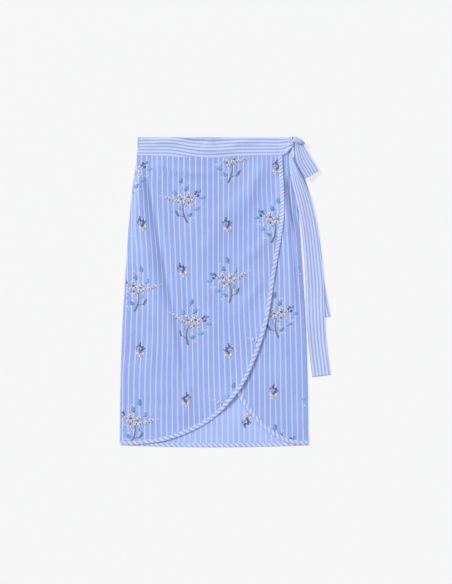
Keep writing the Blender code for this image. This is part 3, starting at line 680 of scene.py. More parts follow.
def linear(colour):
    """A display colour as the light that it stands for."""
    return tuple(c / 12.92 if c < 0.04045 else ((c + 0.055) / 1.055) ** 2.4 for c in colour)


def shade(colour, share):
    """A colour made darker or lighter."""
    return tuple(min(1.0, c * share) for c in colour)


# Poplin: how fine its slubs, its uneven dye and its crumples are, per metre, and what they change
SLUBS_ACROSS = 1400.0
SLUBS_ALONG = 70.0
DYE_SCALE = 14.0
CRUMPLE_SCALE = 55.0
DYE_SHADES = (0.93, 1.07)
DYE_RANGE = (0.3, 0.7)
DYE_STRAY = 0.0012
LINE_COVER = 0.86
LINE_WEAVE = 0.06
WEAVE_RELIEF = 0.03
SLUB_RELIEF = 0.1

# A stripe's soft border on each side, and where a narrow one fades in, as shares of its pitch
LINE_BORDER = 0.0002
NARROW_FADE = (0.15, 0.28)

# Floss: its strands, with painted shade in the grooves between them, and its uneven tone
STRAND_PITCH = 0.0006
FLOSS_SCALE = 420.0
FLOSS_SHADES = (0.82, 1.08)
FLOSS_RANGE = (0.25, 0.8)
STRAND_SHADE_SHARE = 0.3

# Floor: what share of its light comes from below, and its grain
FLOOR_GLOW = 0.7
PAPER_SCALE = 30.0
PAPER_SHADE = 0.98


def woven(name, ground, line, mask, sizes):
    """Cotton poplin: yarns, slubs along the grain and an uneven dye under its stripes."""
    cloth = Finish(name, roughness=0.86, sheen=0.15)
    across, along = cloth.grain()
    yarn = 2 * math.pi / sizes.yarn
    weave = (across * yarn).math("SINE") * (along * yarn).math("SINE")
    slub_place = {0: across * SLUBS_ACROSS, 1: along * SLUBS_ALONG}
    slub = cloth.noise(cloth.node("ShaderNodeCombineXYZ", slub_place), scale=1.0)
    place = cloth.place()
    dye = cloth.noise(place, DYE_SCALE, detail=3.0)
    crumple = cloth.noise(place, CRUMPLE_SCALE, detail=3.0)
    dark, light = (shade(linear(ground), share) for share in DYE_SHADES)
    base = cloth.mix((slub * 0.5 + dye * 0.5).ramp(*DYE_RANGE), dark, light)
    stripe = mask(across + (dye - 0.5) * DYE_STRAY) * (LINE_COVER + weave * LINE_WEAVE)
    colour = cloth.mix(stripe, base, linear(line))
    height = crumple + weave * WEAVE_RELIEF + slub * SLUB_RELIEF
    return cloth.finish(colour, height, distance=0.0016, strength=0.3)


def off_line(across, pitch):
    """Distance from the middle of the nearest of some evenly spaced lines."""
    return ((across / pitch + 0.5).math("FRACT") - 0.5).math("ABSOLUTE") * pitch


def pinstripes(sizes):
    """White lines at an even pitch."""
    half = sizes.pinstripe_width / 2

    def mask(across):
        off = off_line(across, sizes.pinstripe_pitch)
        return off.ramp(half + LINE_BORDER, half - LINE_BORDER)

    return mask


def sash_stripes(sizes):
    """Narrow pale stripes with a blue line between each two."""
    pitch = sizes.sash_pitch

    def mask(across):
        return off_line(across, pitch).ramp(*(pitch * share for share in NARROW_FADE))

    return mask


def thread(name, colour):
    """Satin stitches that lie side by side: an uneven tone, and painted shade in the grooves between
    the strands.
    """
    floss = Finish(name, roughness=0.7, sheen=0.1)
    across, _ = floss.grain()
    tone = floss.noise(floss.place(), FLOSS_SCALE)
    strands = (across * (2 * math.pi / STRAND_PITCH)).math("SINE") * 0.5 + 0.5
    # painted shade: the colour darkens in the grooves between the strands, in step with their bump
    tone_and_groove_shade = (tone * (1 - STRAND_SHADE_SHARE) + strands * STRAND_SHADE_SHARE).ramp(*FLOSS_RANGE)
    base = floss.mix(tone_and_groove_shade, *(shade(linear(colour), share) for share in FLOSS_SHADES))
    return floss.finish(base, strands, distance=0.0002, strength=0.4)


def floor_finish(name, colour):
    """Matt paper on a light table: most of its light comes from below, so shadows stay faint."""
    paper = Finish(name, roughness=0.95)
    paper.shader.inputs["Emission Color"].default_value = (*linear(colour), 1)
    paper.shader.inputs["Emission Strength"].default_value = FLOOR_GLOW
    lit = shade(linear(colour), 1 - FLOOR_GLOW)
    grain = paper.noise(paper.place(), PAPER_SCALE)
    return paper.finish(paper.mix(grain, shade(lit, PAPER_SHADE), lit))


THREADS = (
    "cream", "blush", "beige", "navy", "brown", "gold", "teal", "pale_teal", "olive", "mist"
)


def finishes():
    """The materials, made once."""
    made = bpy.data.materials
    if "striped_cloth_face" in made:
        return made
    sizes = bpy.context.scene.wrap_skirt_sizes
    colours = bpy.context.scene.wrap_skirt_colours
    lines, sash = pinstripes(sizes), sash_stripes(sizes)
    woven("striped_cloth_face", colours.blue, colours.white, lines, sizes)
    woven("striped_cloth_inside", colours.inner_blue, colours.white, lines, sizes)
    woven("narrow_striped_face", colours.sash_blue, colours.sash_white, sash, sizes)
    for name in THREADS:
        thread(f"thread_{name}", getattr(colours, name))
    floor_finish("floor_paper", colours.floor)
    return made


# Meshes


def grid_surface(columns, rows, place):
    """A grid whose points at shares s across and t up go to place(s, t), which gives them and
    their distances across and along the grain."""
    bm = bmesh.new()
    bmesh.ops.create_grid(bm, x_segments=columns, y_segments=rows, size=0.5)
    shares = np.array([vert.co.xy for vert in bm.verts]) + 0.5
    points, grain = place(shares[:, 0], shares[:, 1])
    for vert, point in zip(bm.verts, points):
        vert.co = point
    layer = bm.loops.layers.uv.new("grain")
    for face in bm.faces:
        for loop in face.loops:
            loop[layer].uv = grain[loop.vert.index]
    return bm


def face_up(bm):
    """Turns a sheet's faces over if most of it faces down."""
    bm.normal_update()
    if sum(face.normal.z * face.calc_area() for face in bm.faces) < 0:
        bmesh.ops.reverse_faces(bm, faces=bm.faces)


def make_piece(name, bm, materials, nodes=(), wall=0.0):
    """Makes the object of a piece, moved to the frame's place, on the skirt's one body. A wall
    grows from behind its faces, and is in the second material if there are two."""
    bmesh.ops.translate(bm, verts=bm.verts, vec=HEM_MIDDLE)
    mesh = bpy.data.meshes.new(name)
    bm.to_mesh(mesh)
    bm.free()
    for material in materials:
        mesh.materials.append(finishes()[material])
    mesh.shade_smooth()
    obj = bpy.data.objects.new(name, mesh)
    bpy.context.scene.collection.objects.link(obj)
    if wall:
        shell = obj.modifiers.new("wall", "SOLIDIFY")
        shell.thickness = wall
        shell.use_even_offset = False
        if len(materials) > 1:
            shell.material_offset = 1
            shell.material_offset_rim = 1
    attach(obj, "root")
    if nodes:
        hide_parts(*nodes)
    return obj


def crowded(t, crowding):
    """Moves even shares across a strip towards its edges."""
    return t - crowding * np.sin(2 * math.pi * t) / (2 * math.pi)


def plump(t):
    """How full a strip is at a share across it: nothing at its edges, all of it inside them."""
    return np.clip(1 - np.abs(2 * t - 1) ** PLUMPNESS, 0, 1) ** 0.5


def closed_strip(name, node, stations, section, columns=TIE_ROUND):
    """A strip of two layers that meet at both sides. section(s, t, side) gives the points and
    grain at shares s along it and t across it, on its face for side 1, its back for side -1."""

    def place(s, r):
        side = np.where(r < 0.5, 1.0, -1.0)
        t = np.where(r < 0.5, 2 * r, 2 - 2 * r)
        return section(s, crowded(t, EDGE_CROWDING), side)

    bm = grid_surface(stations, columns, place)
    bmesh.ops.remove_doubles(bm, verts=bm.verts, dist=TOUCHING)
    bmesh.ops.holes_fill(bm, edges=[edge for edge in bm.edges if edge.is_boundary])
    bmesh.ops.recalc_face_normals(bm, faces=bm.faces)
    materials = ["narrow_striped_face"]
    return make_piece(name, bm, materials, [node], TUBE_WALL)


# Panels


def edge_lines(points, side, steps=BINDING_STEPS):
    """The outer line of a front panel's bound edge from the waist to the hem's corner, and its
    inward directions."""
    waist_x = points[0][0]
    edge = smooth_path([(waist_x, waist_seam(waist_x) - SEAM_GAP), *points[1:]], steps)
    return edge, inward(edge, side)


def hem_lines():
    """The outer line of the back's bound hem, and its inward directions."""
    x = np.linspace(-HALF_HEM, HALF_HEM, BINDING_STEPS + 1)
    edge = np.column_stack([x, hem_height(x)])
    return edge, inward(edge, 1)


def panel_piece(name, node, bm, upper, lower):
    """A panel's sheet as a piece, with the finishes of its upper and lower sides."""
    face_up(bm)
    materials = [f"striped_cloth_{upper}", f"striped_cloth_{lower}"]
    shell = bpy.context.scene.wrap_skirt_sizes.shell
    return make_piece(name, bm, materials, [node], shell)


def front_panel(node, points, side, face, grain, size):
    """A front panel from its side seam, at side -1 or 1, to its bound edge."""
    columns, rows = size
    edge, into = edge_lines(points, side, rows)
    raw = (edge + (CLOTH + SEAM_GAP) * into)[::-1]
    raw[0, 0] = side * half_width(raw[0, 1])
    head = waist_seam(side * TOP_HALF_WIDTH) + SEAM_TUCK

    def place(s, t):
        s = crowded(s, CROWDING)
        far = raw[np.rint(t * rows).astype(int)]
        seam_y = raw[0, 1] + t * (head - raw[0, 1])
        x = (1 - s) * side * half_width(seam_y) + s * far[:, 0]
        y = (1 - s) * seam_y + s * far[:, 1]
        straight = (1 - s) * head + s * raw[-1, 1]
        sag = waist_seam(x) + SEAM_TUCK - straight
        y = y + sag * smooth((t - SAG_START) / (1 - SAG_START))
        return np.column_stack([x, y, face(x, y)]), np.column_stack([grain(x, y), y])

    return panel_piece(f"{node}_cloth", node, grid_surface(columns, rows, place), "face", "inside")


def binding(part, line, face, slant, run=BINDING_RUN):
    """Bias binding folded over the edge of a part, with its stripes aslant. The run is the
    distance along the edge from one stripe to the next."""
    edge, into = line
    steps = len(edge) - 1
    section = finer(BINDING_SECTION, SECTION_FINENESS * (len(BINDING_SECTION) - 1))
    round_it = travelled(section)
    travel = travelled(edge)
    phase = np.concatenate([[0], np.cumsum(np.diff(travel) / run)])
    pitch = bpy.context.scene.wrap_skirt_sizes.sash_pitch

    def place(s, t):
        k = np.rint(s * steps).astype(int)
        row = np.rint(t * (len(section) - 1)).astype(int)
        x, y = (edge[k, :2] + section[row, :1] * into[k]).T
        x = np.clip(x, -half_width(y), half_width(y))
        z = face(x, y) + section[row, 1]
        across = (phase[k] + slant * round_it[row] / BINDING_RUN) * pitch
        return np.column_stack([x, y, z]), np.column_stack([across, travel[k]])

    bm = grid_surface(steps, len(section) - 1, place)
    face_up(bm)
    name, nodes, slot = f"{part}_bias", [f"{part}_binding"], "narrow_striped_cloth"
    return make_piece(name, bm, ["narrow_striped_face"], nodes, BINDING_WALL)


class WRAPSKIRT_OT_back(bpy.types.Operator):
    """Makes the back panel, inside out to the eye, and its hem binding"""

    bl_idname = "wrapskirt.back"
    bl_label = "Back panel"

    def execute(self, context):
        def place(s, t):
            x = (2 * s - 1) * half_width(t * WAIST_SEAM)
            low, high = hem_height(x) + CLOTH + SEAM_GAP, waist_seam(x) + SEAM_TUCK
            y = low + t * (high - low)
            return np.column_stack([x, y, back_face(x, y)]), np.column_stack([x - BACK_STRIPE, y])

        bm = grid_surface(*BACK_GRID, place)
        back = panel_piece("back_cloth", "back_panel", bm, "inside", "face")
        bound = binding("back_hem", hem_lines(), back_face, -1)
        return {"FINISHED"}


class WRAPSKIRT_OT_underlap(bpy.types.Operator):
    """Makes the underlap and its binding"""

    bl_idname = "wrapskirt.underlap"
    bl_label = "Underlap"

    def execute(self, context):
        grain = stripe_grain(underlap_lie, UNDERLAP_SPAN, UNDERLAP_DRIFT, UNDERLAP_STRIPE)
        panel = front_panel("underlap", UNDERLAP_EDGE, 1, underlap_face, grain, UNDERLAP_GRID)
        bound = binding("underlap", edge_lines(UNDERLAP_EDGE, 1), underlap_face, -1)
        return {"FINISHED"}


class WRAPSKIRT_OT_overlap(bpy.types.Operator):
    """Makes the overlap and its binding"""

    bl_idname = "wrapskirt.overlap"
    bl_label = "Overlap"

    def execute(self, context):
        grain = stripe_grain(overlap_lie, OVERLAP_SPAN, OVERLAP_DRIFT, OVERLAP_STRIPE)
        panel = front_panel("overlap", OVERLAP_EDGE, -1, overlap_face, grain, OVERLAP_GRID)
        line = edge_lines(OVERLAP_EDGE, -1)
        upper = smooth((line[0][1:, 1] - RUN_CHANGE) / RUN_CHANGE_HEIGHT)
        run = BINDING_RUN + (UPPER_RUN - BINDING_RUN) * upper
        bound = binding("overlap", line, overlap_face, 1, run)
        return {"FINISHED"}


# Waistband


def band_lie(inset, lie):
    """Height of a waistband's underside, which comes down onto the back's at the side seam."""
    return np.maximum(side_lie(inset, WAIST_TOP, lie) - BAND_DROP, BAND_CLOTH + SEAM_GAP)


def front_band_lie(x):
    """Height of the front waistband's underside but for its folds."""
    return band_lie(x + TOP_HALF_WIDTH, overlap_base(x, WAIST_SEAM))


def front_band_face(x, y):
    """Height of the front waistband's face where it is straight."""
    full = plump((y - waist_seam(x)) / (WAIST_TOP - waist_seam(x)))
    folds = fold_rise(BAND_FOLDS, BAND_TROUGHS, x, y) * full
    return front_band_lie(x) + folds + BAND_CLOTH / 2 + BAND_HALF * full


def skirt_top(x, y):
    """Height of the top of the underlap and its waistband, 0 off the skirt."""
    inside = (np.abs(x) < half_width(y)) & (y > 0) & (y < WAIST_TOP)
    panel = underlap_lie(x, y) + CLOTH
    band = band_lie(half_width(y) - x, UNDERLAP_LIE) + BAND_CLOTH
    return np.where(inside, np.where(y < waist_seam(x), panel, band), 0)


def rest_on(tops, x, y):
    """Height of cloth that lies on the highest of some tops and comes down evenly beside them."""
    height = np.zeros_like(x)
    for radius in np.linspace(0, REST_REACH, REST_RINGS):
        for angle in np.linspace(0, 2 * math.pi, REST_SPOKES, endpoint=False):
            near = x + radius * math.cos(angle), y + radius * math.sin(angle)
            fall = REST_SLOPE * max(0, radius - REST_SHELF)
            for top in tops:
                level = top(*near)
                height = np.maximum(height, np.where(level > 0, level + REST_GAP - fall, 0))
    return height


def band_slip(x):
    """How far the front waistband's stripes have slipped down, along their cloth."""
    fine = finer(BAND_DRIFT, CURVE_SAMPLES)
    return np.interp(x, fine[:, 0], fine[:, 1]) * BAND_CUT / (WAIST_TOP - WAIST_SEAM)


def band_ends(x, y):
    """Slants the side ends of a waistband to the side seam."""
    at_side = np.abs(np.abs(x) - TOP_HALF_WIDTH) < TOUCHING
    return np.where(at_side, np.sign(x) * half_width(y), x)


def band_layer(node, first, last, lie):
    """A straight layer of the waistband between two distances from the middle."""

    def section(s, t, side):
        x = first + s * (last - first)
        low = waist_seam(x)
        y = low + t * (WAIST_TOP - low)
        z = lie(x) + BAND_CLOTH / 2 + side * BAND_HALF * plump(t)
        points = np.column_stack([band_ends(x, y), y, z])
        return points, np.column_stack([(1 - t) * BAND_CUT, x])

    return closed_strip(f"{node}_cloth", node, BAND_STEPS, section, BAND_ROUND)


def front_band(node):
    """The overlap's layer of the waistband, which gathers over the sash's tails to the knot."""
    taper = smooth_path(BAND_TAPER, TAPER_STEPS)
    x = np.linspace(-TOP_HALF_WIDTH, taper[0, 0], BAND_STEPS + 1)[:-1]
    plain = np.column_stack([x, waist_seam(x), np.full_like(x, WAIST_TOP), 0 * x])
    rows = np.vstack([plain, taper])
    tails = [ties()[name].top for name in ("short", "long")]

    def section(s, t, side):
        k = np.rint(s * (len(rows) - 1)).astype(int)
        x, low, high, gather = rows[k].T
        y = low + t * (high - low)
        base = front_band_lie(x)
        base = np.where(x > plain[-1, 0], np.maximum(base, rest_on(tails, x, y)), base)
        wave = gather * gathered(BAND_GATHERS, t)
        wave += fold_rise(BAND_FOLDS, BAND_TROUGHS, x, y) * plump(t)
        z = base + wave + BAND_CLOTH / 2 + side * BAND_HALF * plump(t)
        points = np.column_stack([band_ends(x, y), y, z])
        return points, np.column_stack([(1 - t) * BAND_CUT - band_slip(x), x])

    return closed_strip(f"{node}_cloth", node, len(rows) - 1, section, BAND_ROUND)


class WRAPSKIRT_OT_waistband(bpy.types.Operator):
    """Makes the three layers of the waistband"""

    bl_idname = "wrapskirt.waistband"
    bl_label = "Waistband"

    def execute(self, context):
        def under_lie(x):
            return band_lie(TOP_HALF_WIDTH - x, UNDERLAP_LIE)

        free_edge = UNDERLAP_EDGE[0][0]
        back = band_layer("waistband_back", -TOP_HALF_WIDTH, TOP_HALF_WIDTH, np.zeros_like)
        under = band_layer("waistband_under", free_edge, TOP_HALF_WIDTH, under_lie)
        front = front_band("waistband_front")
        return {"FINISHED"}


# Sash


def drawn_taut(height, steps):
    """Rounds the hollows of a grid of heights and leaves its ridges where they are."""
    for _ in range(steps):
        edged = np.pad(height, 1, mode="edge")
        around = edged[1:-1, :-2] + edged[1:-1, 2:] + edged[:-2, 1:-1] + edged[2:, 1:-1]
        height = np.maximum(height, around / 4)
    return height


class Strip:
    """The plan of a tie: its path, its directions across, and a grid of points with their
    heights."""

    def __init__(self, rows, steps, columns):
        self.path = smooth_path(rows, steps)
        self.across = inward(self.path, -1)
        t = np.linspace(0, 1, columns + 1)
        off = (0.5 - t) * self.path[:, 2:3]
        self.x = self.path[:, 0:1] + off * self.across[:, 0:1]
        self.y = self.path[:, 1:2] + off * self.across[:, 1:2]
        self.height = self.path[:, 3:4] + self.path[:, 4:5] * gathered(TIE_GATHERS, t)


class Tie(Strip):
    """A strip of the sash laid over what is beneath it: points on its underside, by station."""

    def __init__(self, rows, steps, tautness, beneath):
        super().__init__(rows, steps, TIE_COLUMNS)
        z = drawn_taut(rest_on(beneath, self.x, self.y), tautness) + self.height
        self.points = np.dstack([self.x, self.y, z])

    def top(self, x, y):
        """Height of the strip's top at each point, 0 off the strip."""
        away = np.stack([x[..., None] - self.path[:, 0], y[..., None] - self.path[:, 1]])
        k = np.argmin(away[0] ** 2 + away[1] ** 2, axis=-1)
        away = np.take_along_axis(away, k[None, ..., None], axis=-1)[..., 0]
        off = away[0] * self.across[k, 0] + away[1] * self.across[k, 1]
        along = np.hypot(*away) ** 2 - off**2
        reach = STATION_REACH * np.hypot(*(self.path[1, :2] - self.path[0, :2]))
        inside = (np.abs(off) < self.path[k, 2] / 2) & (along < reach**2)
        column = np.clip((0.5 - off / self.path[k, 2]) * TIE_COLUMNS, 0, TIE_COLUMNS)
        z = self.points[..., 2]
        level = np.maximum(z[k, np.floor(column).astype(int)], z[k, np.ceil(column).astype(int)])
        return np.where(inside, level + BAND_CLOTH, 0)


TIES = {}


def ties():
    """The strips of the sash, laid once, each on the ones before it."""
    if not TIES:
        short_tail = Tie(SHORT_TAIL, TAIL_STEPS, TAIL_TAUTNESS, [skirt_top])
        long_tail = Tie(LONG_TAIL, TAIL_STEPS, TAIL_TAUTNESS, [skirt_top, short_tail.top])
        beneath = [skirt_top, short_tail.top, long_tail.top]
        loop = Tie(BOW_LOOP, LOOP_STEPS, LOOP_TAUTNESS, beneath)
        TIES.update(short=short_tail, long=long_tail, loop=loop)
    return TIES


def sash_strip(part, points, steps=TIE_STEPS):
    """A strip of the sash whose middle surface goes through a grid of points."""
    columns = TIE_ROUND // 2
    fine = np.swapaxes(finer(np.swapaxes(finer(points, steps), 0, 1), columns), 0, 1)
    travel = np.linalg.norm(np.diff(fine[:, columns // 2], axis=0), axis=1)
    travel = np.concatenate([[0], np.cumsum(travel)])
    normal = np.cross(np.gradient(fine, axis=1), np.gradient(fine, axis=0))
    normal /= np.linalg.norm(normal, axis=2)[..., None]

    def section(s, t, side):
        k = np.rint(s * steps).astype(int)
        column = np.minimum((t * columns).astype(int), columns - 1)
        share = (t * columns - column)[:, None]
        point = (1 - share) * fine[k, column] + share * fine[k, column + 1]
        out = (1 - share) * normal[k, column] + share * normal[k, column + 1]
        out *= (side * TIE_HALF * plump(t))[:, None]
        return point + out, np.column_stack([t * SASH_WIDTH, travel[k]])

    return closed_strip(f"sash_{part}", f"tie_{part}", steps, section)


def loop_points(strip):
    """The middle surface of the loop: out from the knot, round a fold and back on itself."""
    across = strip.across[-1]
    ahead = np.array([across[1], -across[0], 0])
    up = np.array([0, 0, 1])
    lower = strip.points + up * (BAND_CLOTH / 2 + SEAM_GAP)
    turns = []
    for angle in np.linspace(0, math.pi, LOOP_TURN_STEPS + 1)[1:-1]:
        turn = math.sin(angle) * ahead + (1 - math.cos(angle)) * up
        turns.append(lower[-1] + LOOP_SPREAD / 2 * turn)
    opened = smooth(np.linspace(0, 1, LOOP_STEPS + 1))[::-1]
    apart = LOOP_PINCH + (LOOP_SPREAD - LOOP_PINCH) * opened
    upper = lower[::-1] + apart[:, None, None] * up
    return np.concatenate([lower, turns, upper])


def knot_points():
    """The middle surface of the cloth that the knot turns over the loop."""
    turn = Strip(KNOT_TURN, KNOT_STEPS, KNOT_COLUMNS)
    return np.dstack([turn.x, turn.y, turn.height + BAND_CLOTH / 2])


class WRAPSKIRT_OT_sash(bpy.types.Operator):
    """Makes the two tails of the sash, the loop of its bow and the knot's turn"""

    bl_idname = "wrapskirt.sash"
    bl_label = "Sash"

    def execute(self, context):
        raised = np.array([0, 0, BAND_CLOTH / 2])
        laid = ties()
        short_tail = sash_strip("tail_short", laid["short"].points + raised)
        long_tail = sash_strip("tail_long", laid["long"].points + raised)
        loop = sash_strip("loop", loop_points(laid["loop"]))
        knot = sash_strip("knot", knot_points(), KNOT_STEPS)
        return {"FINISHED"}


# Embroidery


class Blossom(NamedTuple):
    """A small flower of five petals: its middle, its width and its turn in degrees."""

    x: float
    y: float
    width: float
    turn: float


class Leaf(NamedTuple):
    """A leaf or petal of satin stitch: its middle, length, width, turn in degrees and thread."""

    x: float
    y: float
    length: float
    width: float
    turn: float
    thread: str


class Stem(NamedTuple):
    """A line of stem stitch from its start through a bend to its end."""

    start: tuple
    bend: tuple
    end: tuple
    width: float
    thread: str


class Placement(NamedTuple):
    """Where a motif is sewn, its turn in degrees, and -1 where it is mirrored."""

    motif: str
    x: float
    y: float
    turn: float
    hand: int


def each(kind, *rows):
    """Blossoms, leaves or stems, from a row of values for each."""
    return [kind(*row) for row in rows]


def placements(**rows_of):
    """Where each motif is sewn, from its name and a row of values for each place."""
    return [Placement(motif, *row) for motif, rows in rows_of.items() for row in rows]


SPRAY_BLOSSOMS = each(
    Blossom,
    (-0.044, 0.005, 0.012, 10), (-0.033, -0.001, 0.01, 50), (-0.023, -0.003, 0.0105, 25),
    (-0.014, 0.008, 0.0125, 0), (-0.009, -0.006, 0.0125, 40), (0.006, 0.0125, 0.012, 60),
    (0.001, 0.002, 0.0125, 15), (0.0115, -0.002, 0.012, 30), (0.002, -0.014, 0.01, 5),
    (0.018, 0.009, 0.0105, 12), (0.0185, -0.011, 0.0085, 55),
)
SPRAY_LEAVES = each(
    Leaf,
    (-0.013, 0.045, 0.018, 0.0095, 80, "teal"), (0.001, 0.027, 0.015, 0.0105, 60, "teal"),
    (-0.027, 0.017, 0.014, 0.0095, 115, "pale_teal"), (0.04, 0.005, 0.015, 0.008, 10, "pale_teal"),
    (0.026, -0.022, 0.0165, 0.008, 18, "pale_teal"), (0.009, -0.037, 0.015, 0.0095, 48, "teal"),
    (-0.015, -0.02, 0.011, 0.007, 100, "pale_teal"), (0.032, 0.02, 0.011, 0.007, 40, "teal"),
    (0.029, 0.01, 0.009, 0.0065, 30, "navy"), (0.025, 0.019, 0.008, 0.006, 70, "brown"),
    (-0.0215, -0.033, 0.019, 0.0064, 122, "olive"),
)
# What is sewn over the blossoms
SPRAY_STITCHES = each(
    Leaf,
    (-0.0385, -0.001, 0.0056, 0.0032, 40, "brown"), (-0.018, -0.006, 0.0058, 0.0036, 20, "olive"),
    (-0.0115, 0.0015, 0.0068, 0.0048, 150, "navy"), (-0.004, -0.011, 0.006, 0.0038, 110, "teal"),
    (0.006, 0.006, 0.0078, 0.0066, 30, "navy"), (0.006, 0.006, 0.0036, 0.003, 30, "blush"),
    (0.006, -0.0075, 0.0062, 0.0044, 120, "olive"), (0.022, 0.0135, 0.0072, 0.0056, 80, "navy"),
)
SPRAY_STEMS = each(
    Stem,
    ((-0.006, -0.012), (-0.01, -0.035), (0.004, -0.056), 0.0054, "olive"),
    ((-0.016, -0.038), (-0.012, -0.039), (-0.006, -0.041), 0.0024, "olive"),
    ((-0.006, -0.014), (-0.024, -0.012), (-0.04, 0.002), 0.0016, "beige"),
    ((-0.004, -0.014), (0.012, -0.006), (0.026, 0.011), 0.0016, "beige"),
    ((-0.004, 0.016), (-0.004, 0.032), (-0.013, 0.04), 0.0014, "mist"),
    ((0.006, 0.016), (0.012, 0.03), (0.006, 0.042), 0.0014, "mist"),
    ((-0.046, 0.004), (-0.056, 0.004), (-0.06, 0.011), 0.0014, "mist"),
    ((0.02, -0.012), (0.034, -0.016), (0.04, -0.01), 0.0016, "mist"),
    ((0.0, -0.018), (0.006, -0.028), (0.008, -0.032), 0.0016, "mist"),
    ((0.006, -0.02), (0.016, -0.03), (0.02, -0.04), 0.0016, "pale_teal"),
    ((0.004, -0.04), (0.014, -0.048), (0.022, -0.044), 0.0014, "mist"),
)
PANSY_PETALS = each(
    Leaf,
    (0.003, -0.0105, 0.009, 0.008, 80, "gold"), (-0.0045, -0.009, 0.0085, 0.0065, 120, "cream"),
    (0.0085, -0.0085, 0.0075, 0.006, 40, "cream"), (0.0, -0.015, 0.006, 0.0055, 100, "cream"),
    (0.006, -0.0145, 0.0055, 0.005, 60, "gold"), (-0.002, 0.0105, 0.0095, 0.0075, 100, "navy"),
    (0.0045, 0.007, 0.0095, 0.007, 60, "navy"), (-0.0045, 0.003, 0.0085, 0.0064, 140, "beige"),
    (0.005, 0.0005, 0.0085, 0.0064, 30, "navy"), (0.001, -0.0035, 0.0085, 0.0066, 90, "brown"),
    (-0.008, 0.0065, 0.008, 0.004, 150, "olive"), (-0.0095, 0.001, 0.0065, 0.0034, 110, "beige"),
    (0.0095, 0.004, 0.008, 0.0038, 20, "olive"), (-0.0005, 0.017, 0.0055, 0.0042, 90, "navy"),
    (-0.003, 0.0085, 0.0046, 0.0022, 110, "mist"), (0.004, 0.01, 0.0042, 0.002, 60, "blush"),
    (0.002, 0.004, 0.0044, 0.002, 140, "mist"), (0.0015, -0.0075, 0.0036, 0.002, 90, "brown"),
)
PANSY_STEMS = each(
    Stem,
    ((-0.01, 0.008), (-0.006, 0.012), (-0.002, 0.01), 0.0012, "olive"),
    ((0.009, 0.007), (0.012, 0.002), (0.01, -0.003), 0.0012, "beige"),
)
OVERLAP_MOTIFS = placements(
    spray=(
        (-0.068, 0.599, 0, 1), (0.037, 0.696, 0, -1), (0.142, 0.551, 0, -1),
        (-0.189, 0.385, 0, -1), (0.029, 0.406, 12, -1), (-0.053, 0.304, -14, 1),
        (-0.196, 0.064, -4, -1), (-0.197, 0.668, 0, 1), (0.142, 0.256, 0, 1),
        (0.059, 0.105, 0, 1),
    ),
    pansy=(
        (0.15, 0.677, -8, 1), (-0.175, 0.54, 12, 1), (0.031, 0.538, 6, 1),
        (-0.078, 0.429, 14, 1), (-0.179, 0.236, -6, 1), (0.036, 0.233, 4, -1),
        (-0.067, 0.115, 0, -1),
    ),
)
UNDERLAP_MOTIFS = placements(
    spray=(
        (0.156, 0.322, -4, 1), (0.258, 0.112, 0, -1), (0.248, 0.43, 0, -1), (0.16, 0.003, 0, 1),
    ),
    pansy=((0.143, 0.135, -8, 1),),
)
BACK_INSIDE_MOTIFS = placements(pansy=((0.078, 0.066, 170, -1),))
BACK_MOTIFS = placements(
    spray=(
        (-0.15, 0.61, 0, 1), (0.02, 0.63, 6, -1), (0.155, 0.535, -8, 1), (-0.075, 0.47, 4, -1),
        (-0.18, 0.34, 0, -1), (0.07, 0.39, -6, 1), (-0.045, 0.255, 0, 1), (0.165, 0.25, 5, -1),
        (-0.15, 0.1, 8, 1), (0.06, 0.13, -4, -1),
    ),
    pansy=(
        (-0.06, 0.63, 10, 1), (0.105, 0.635, -6, 1), (-0.17, 0.48, 0, -1), (0.03, 0.51, 6, 1),
        (0.175, 0.405, -10, 1), (-0.11, 0.38, 8, -1), (0.04, 0.26, 0, 1), (-0.12, 0.215, -8, 1),
        (-0.04, 0.11, 4, -1), (0.16, 0.105, 0, 1),
    ),
)

# A leaf, and a blossom's parts as shares of its width
PETAL_SIDES = 12
PETAL_RISE = 0.0004
PETAL_CROWN = 0.6
LEAF_POINT = 0.35
PETALS = ("cream", "blush", "cream", "beige", "blush")
PETAL_REACH = 0.31
PETAL_LENGTH = 0.48
PETAL_WIDTH = 0.4
MIDDLE_WIDTH = 0.24
MIDDLE_RISE = 1.3 * PETAL_RISE
OVER_RISE = 1.6 * PETAL_RISE

# A stem, and the sprig of dots along a mist one
STEM_PIECES = 10
STEM_ROWS = 4
STEM_RISE = 0.8 * PETAL_RISE
STEM_TWIST = 3
SPRIG_DOTS = 5
DOT_OFF = 0.002
DOT_LENGTH = 0.004
DOT_WIDTH = 0.0022
DOT_TURN = 60

# How far motifs stay inside a panel's bound edge, side seam, waist seam and hem
EDGE_MARGIN = 0.002
SIDE_MARGIN = 0.003
WAIST_MARGIN = 0.001
HEM_MARGIN = 0.003
BACK_HEM_MARGIN = 0.004

# Rows of machine stitches
STITCH_PITCH = 0.0032
STITCH_LENGTH = 0.0024
STITCH_WIDTH = 0.0007
STITCH_SIDES = 6
BINDING_STITCH_INSET = 0.0088
BINDING_STITCH_RISE = 0.0009
WAIST_STITCH_INSET = 0.002
SIDE_CLEARANCE = 0.001


def sewing():
    """An empty mesh with a layer for the grain."""
    bm = bmesh.new()
    bm.loops.layers.uv.new("grain")
    return bm


def sew(bm, made, thread, place):
    """Moves a new shape's points to place(x, y, z), which gives their distance across too."""
    layer = bm.loops.layers.uv.verify()
    material = THREADS.index(thread)
    for vert in made["verts"]:
        *point, across = place(*vert.co)
        vert.co = point
        for loop in vert.link_loops:
            loop[layer].uv = (across, 0)
            loop.face.material_index = material


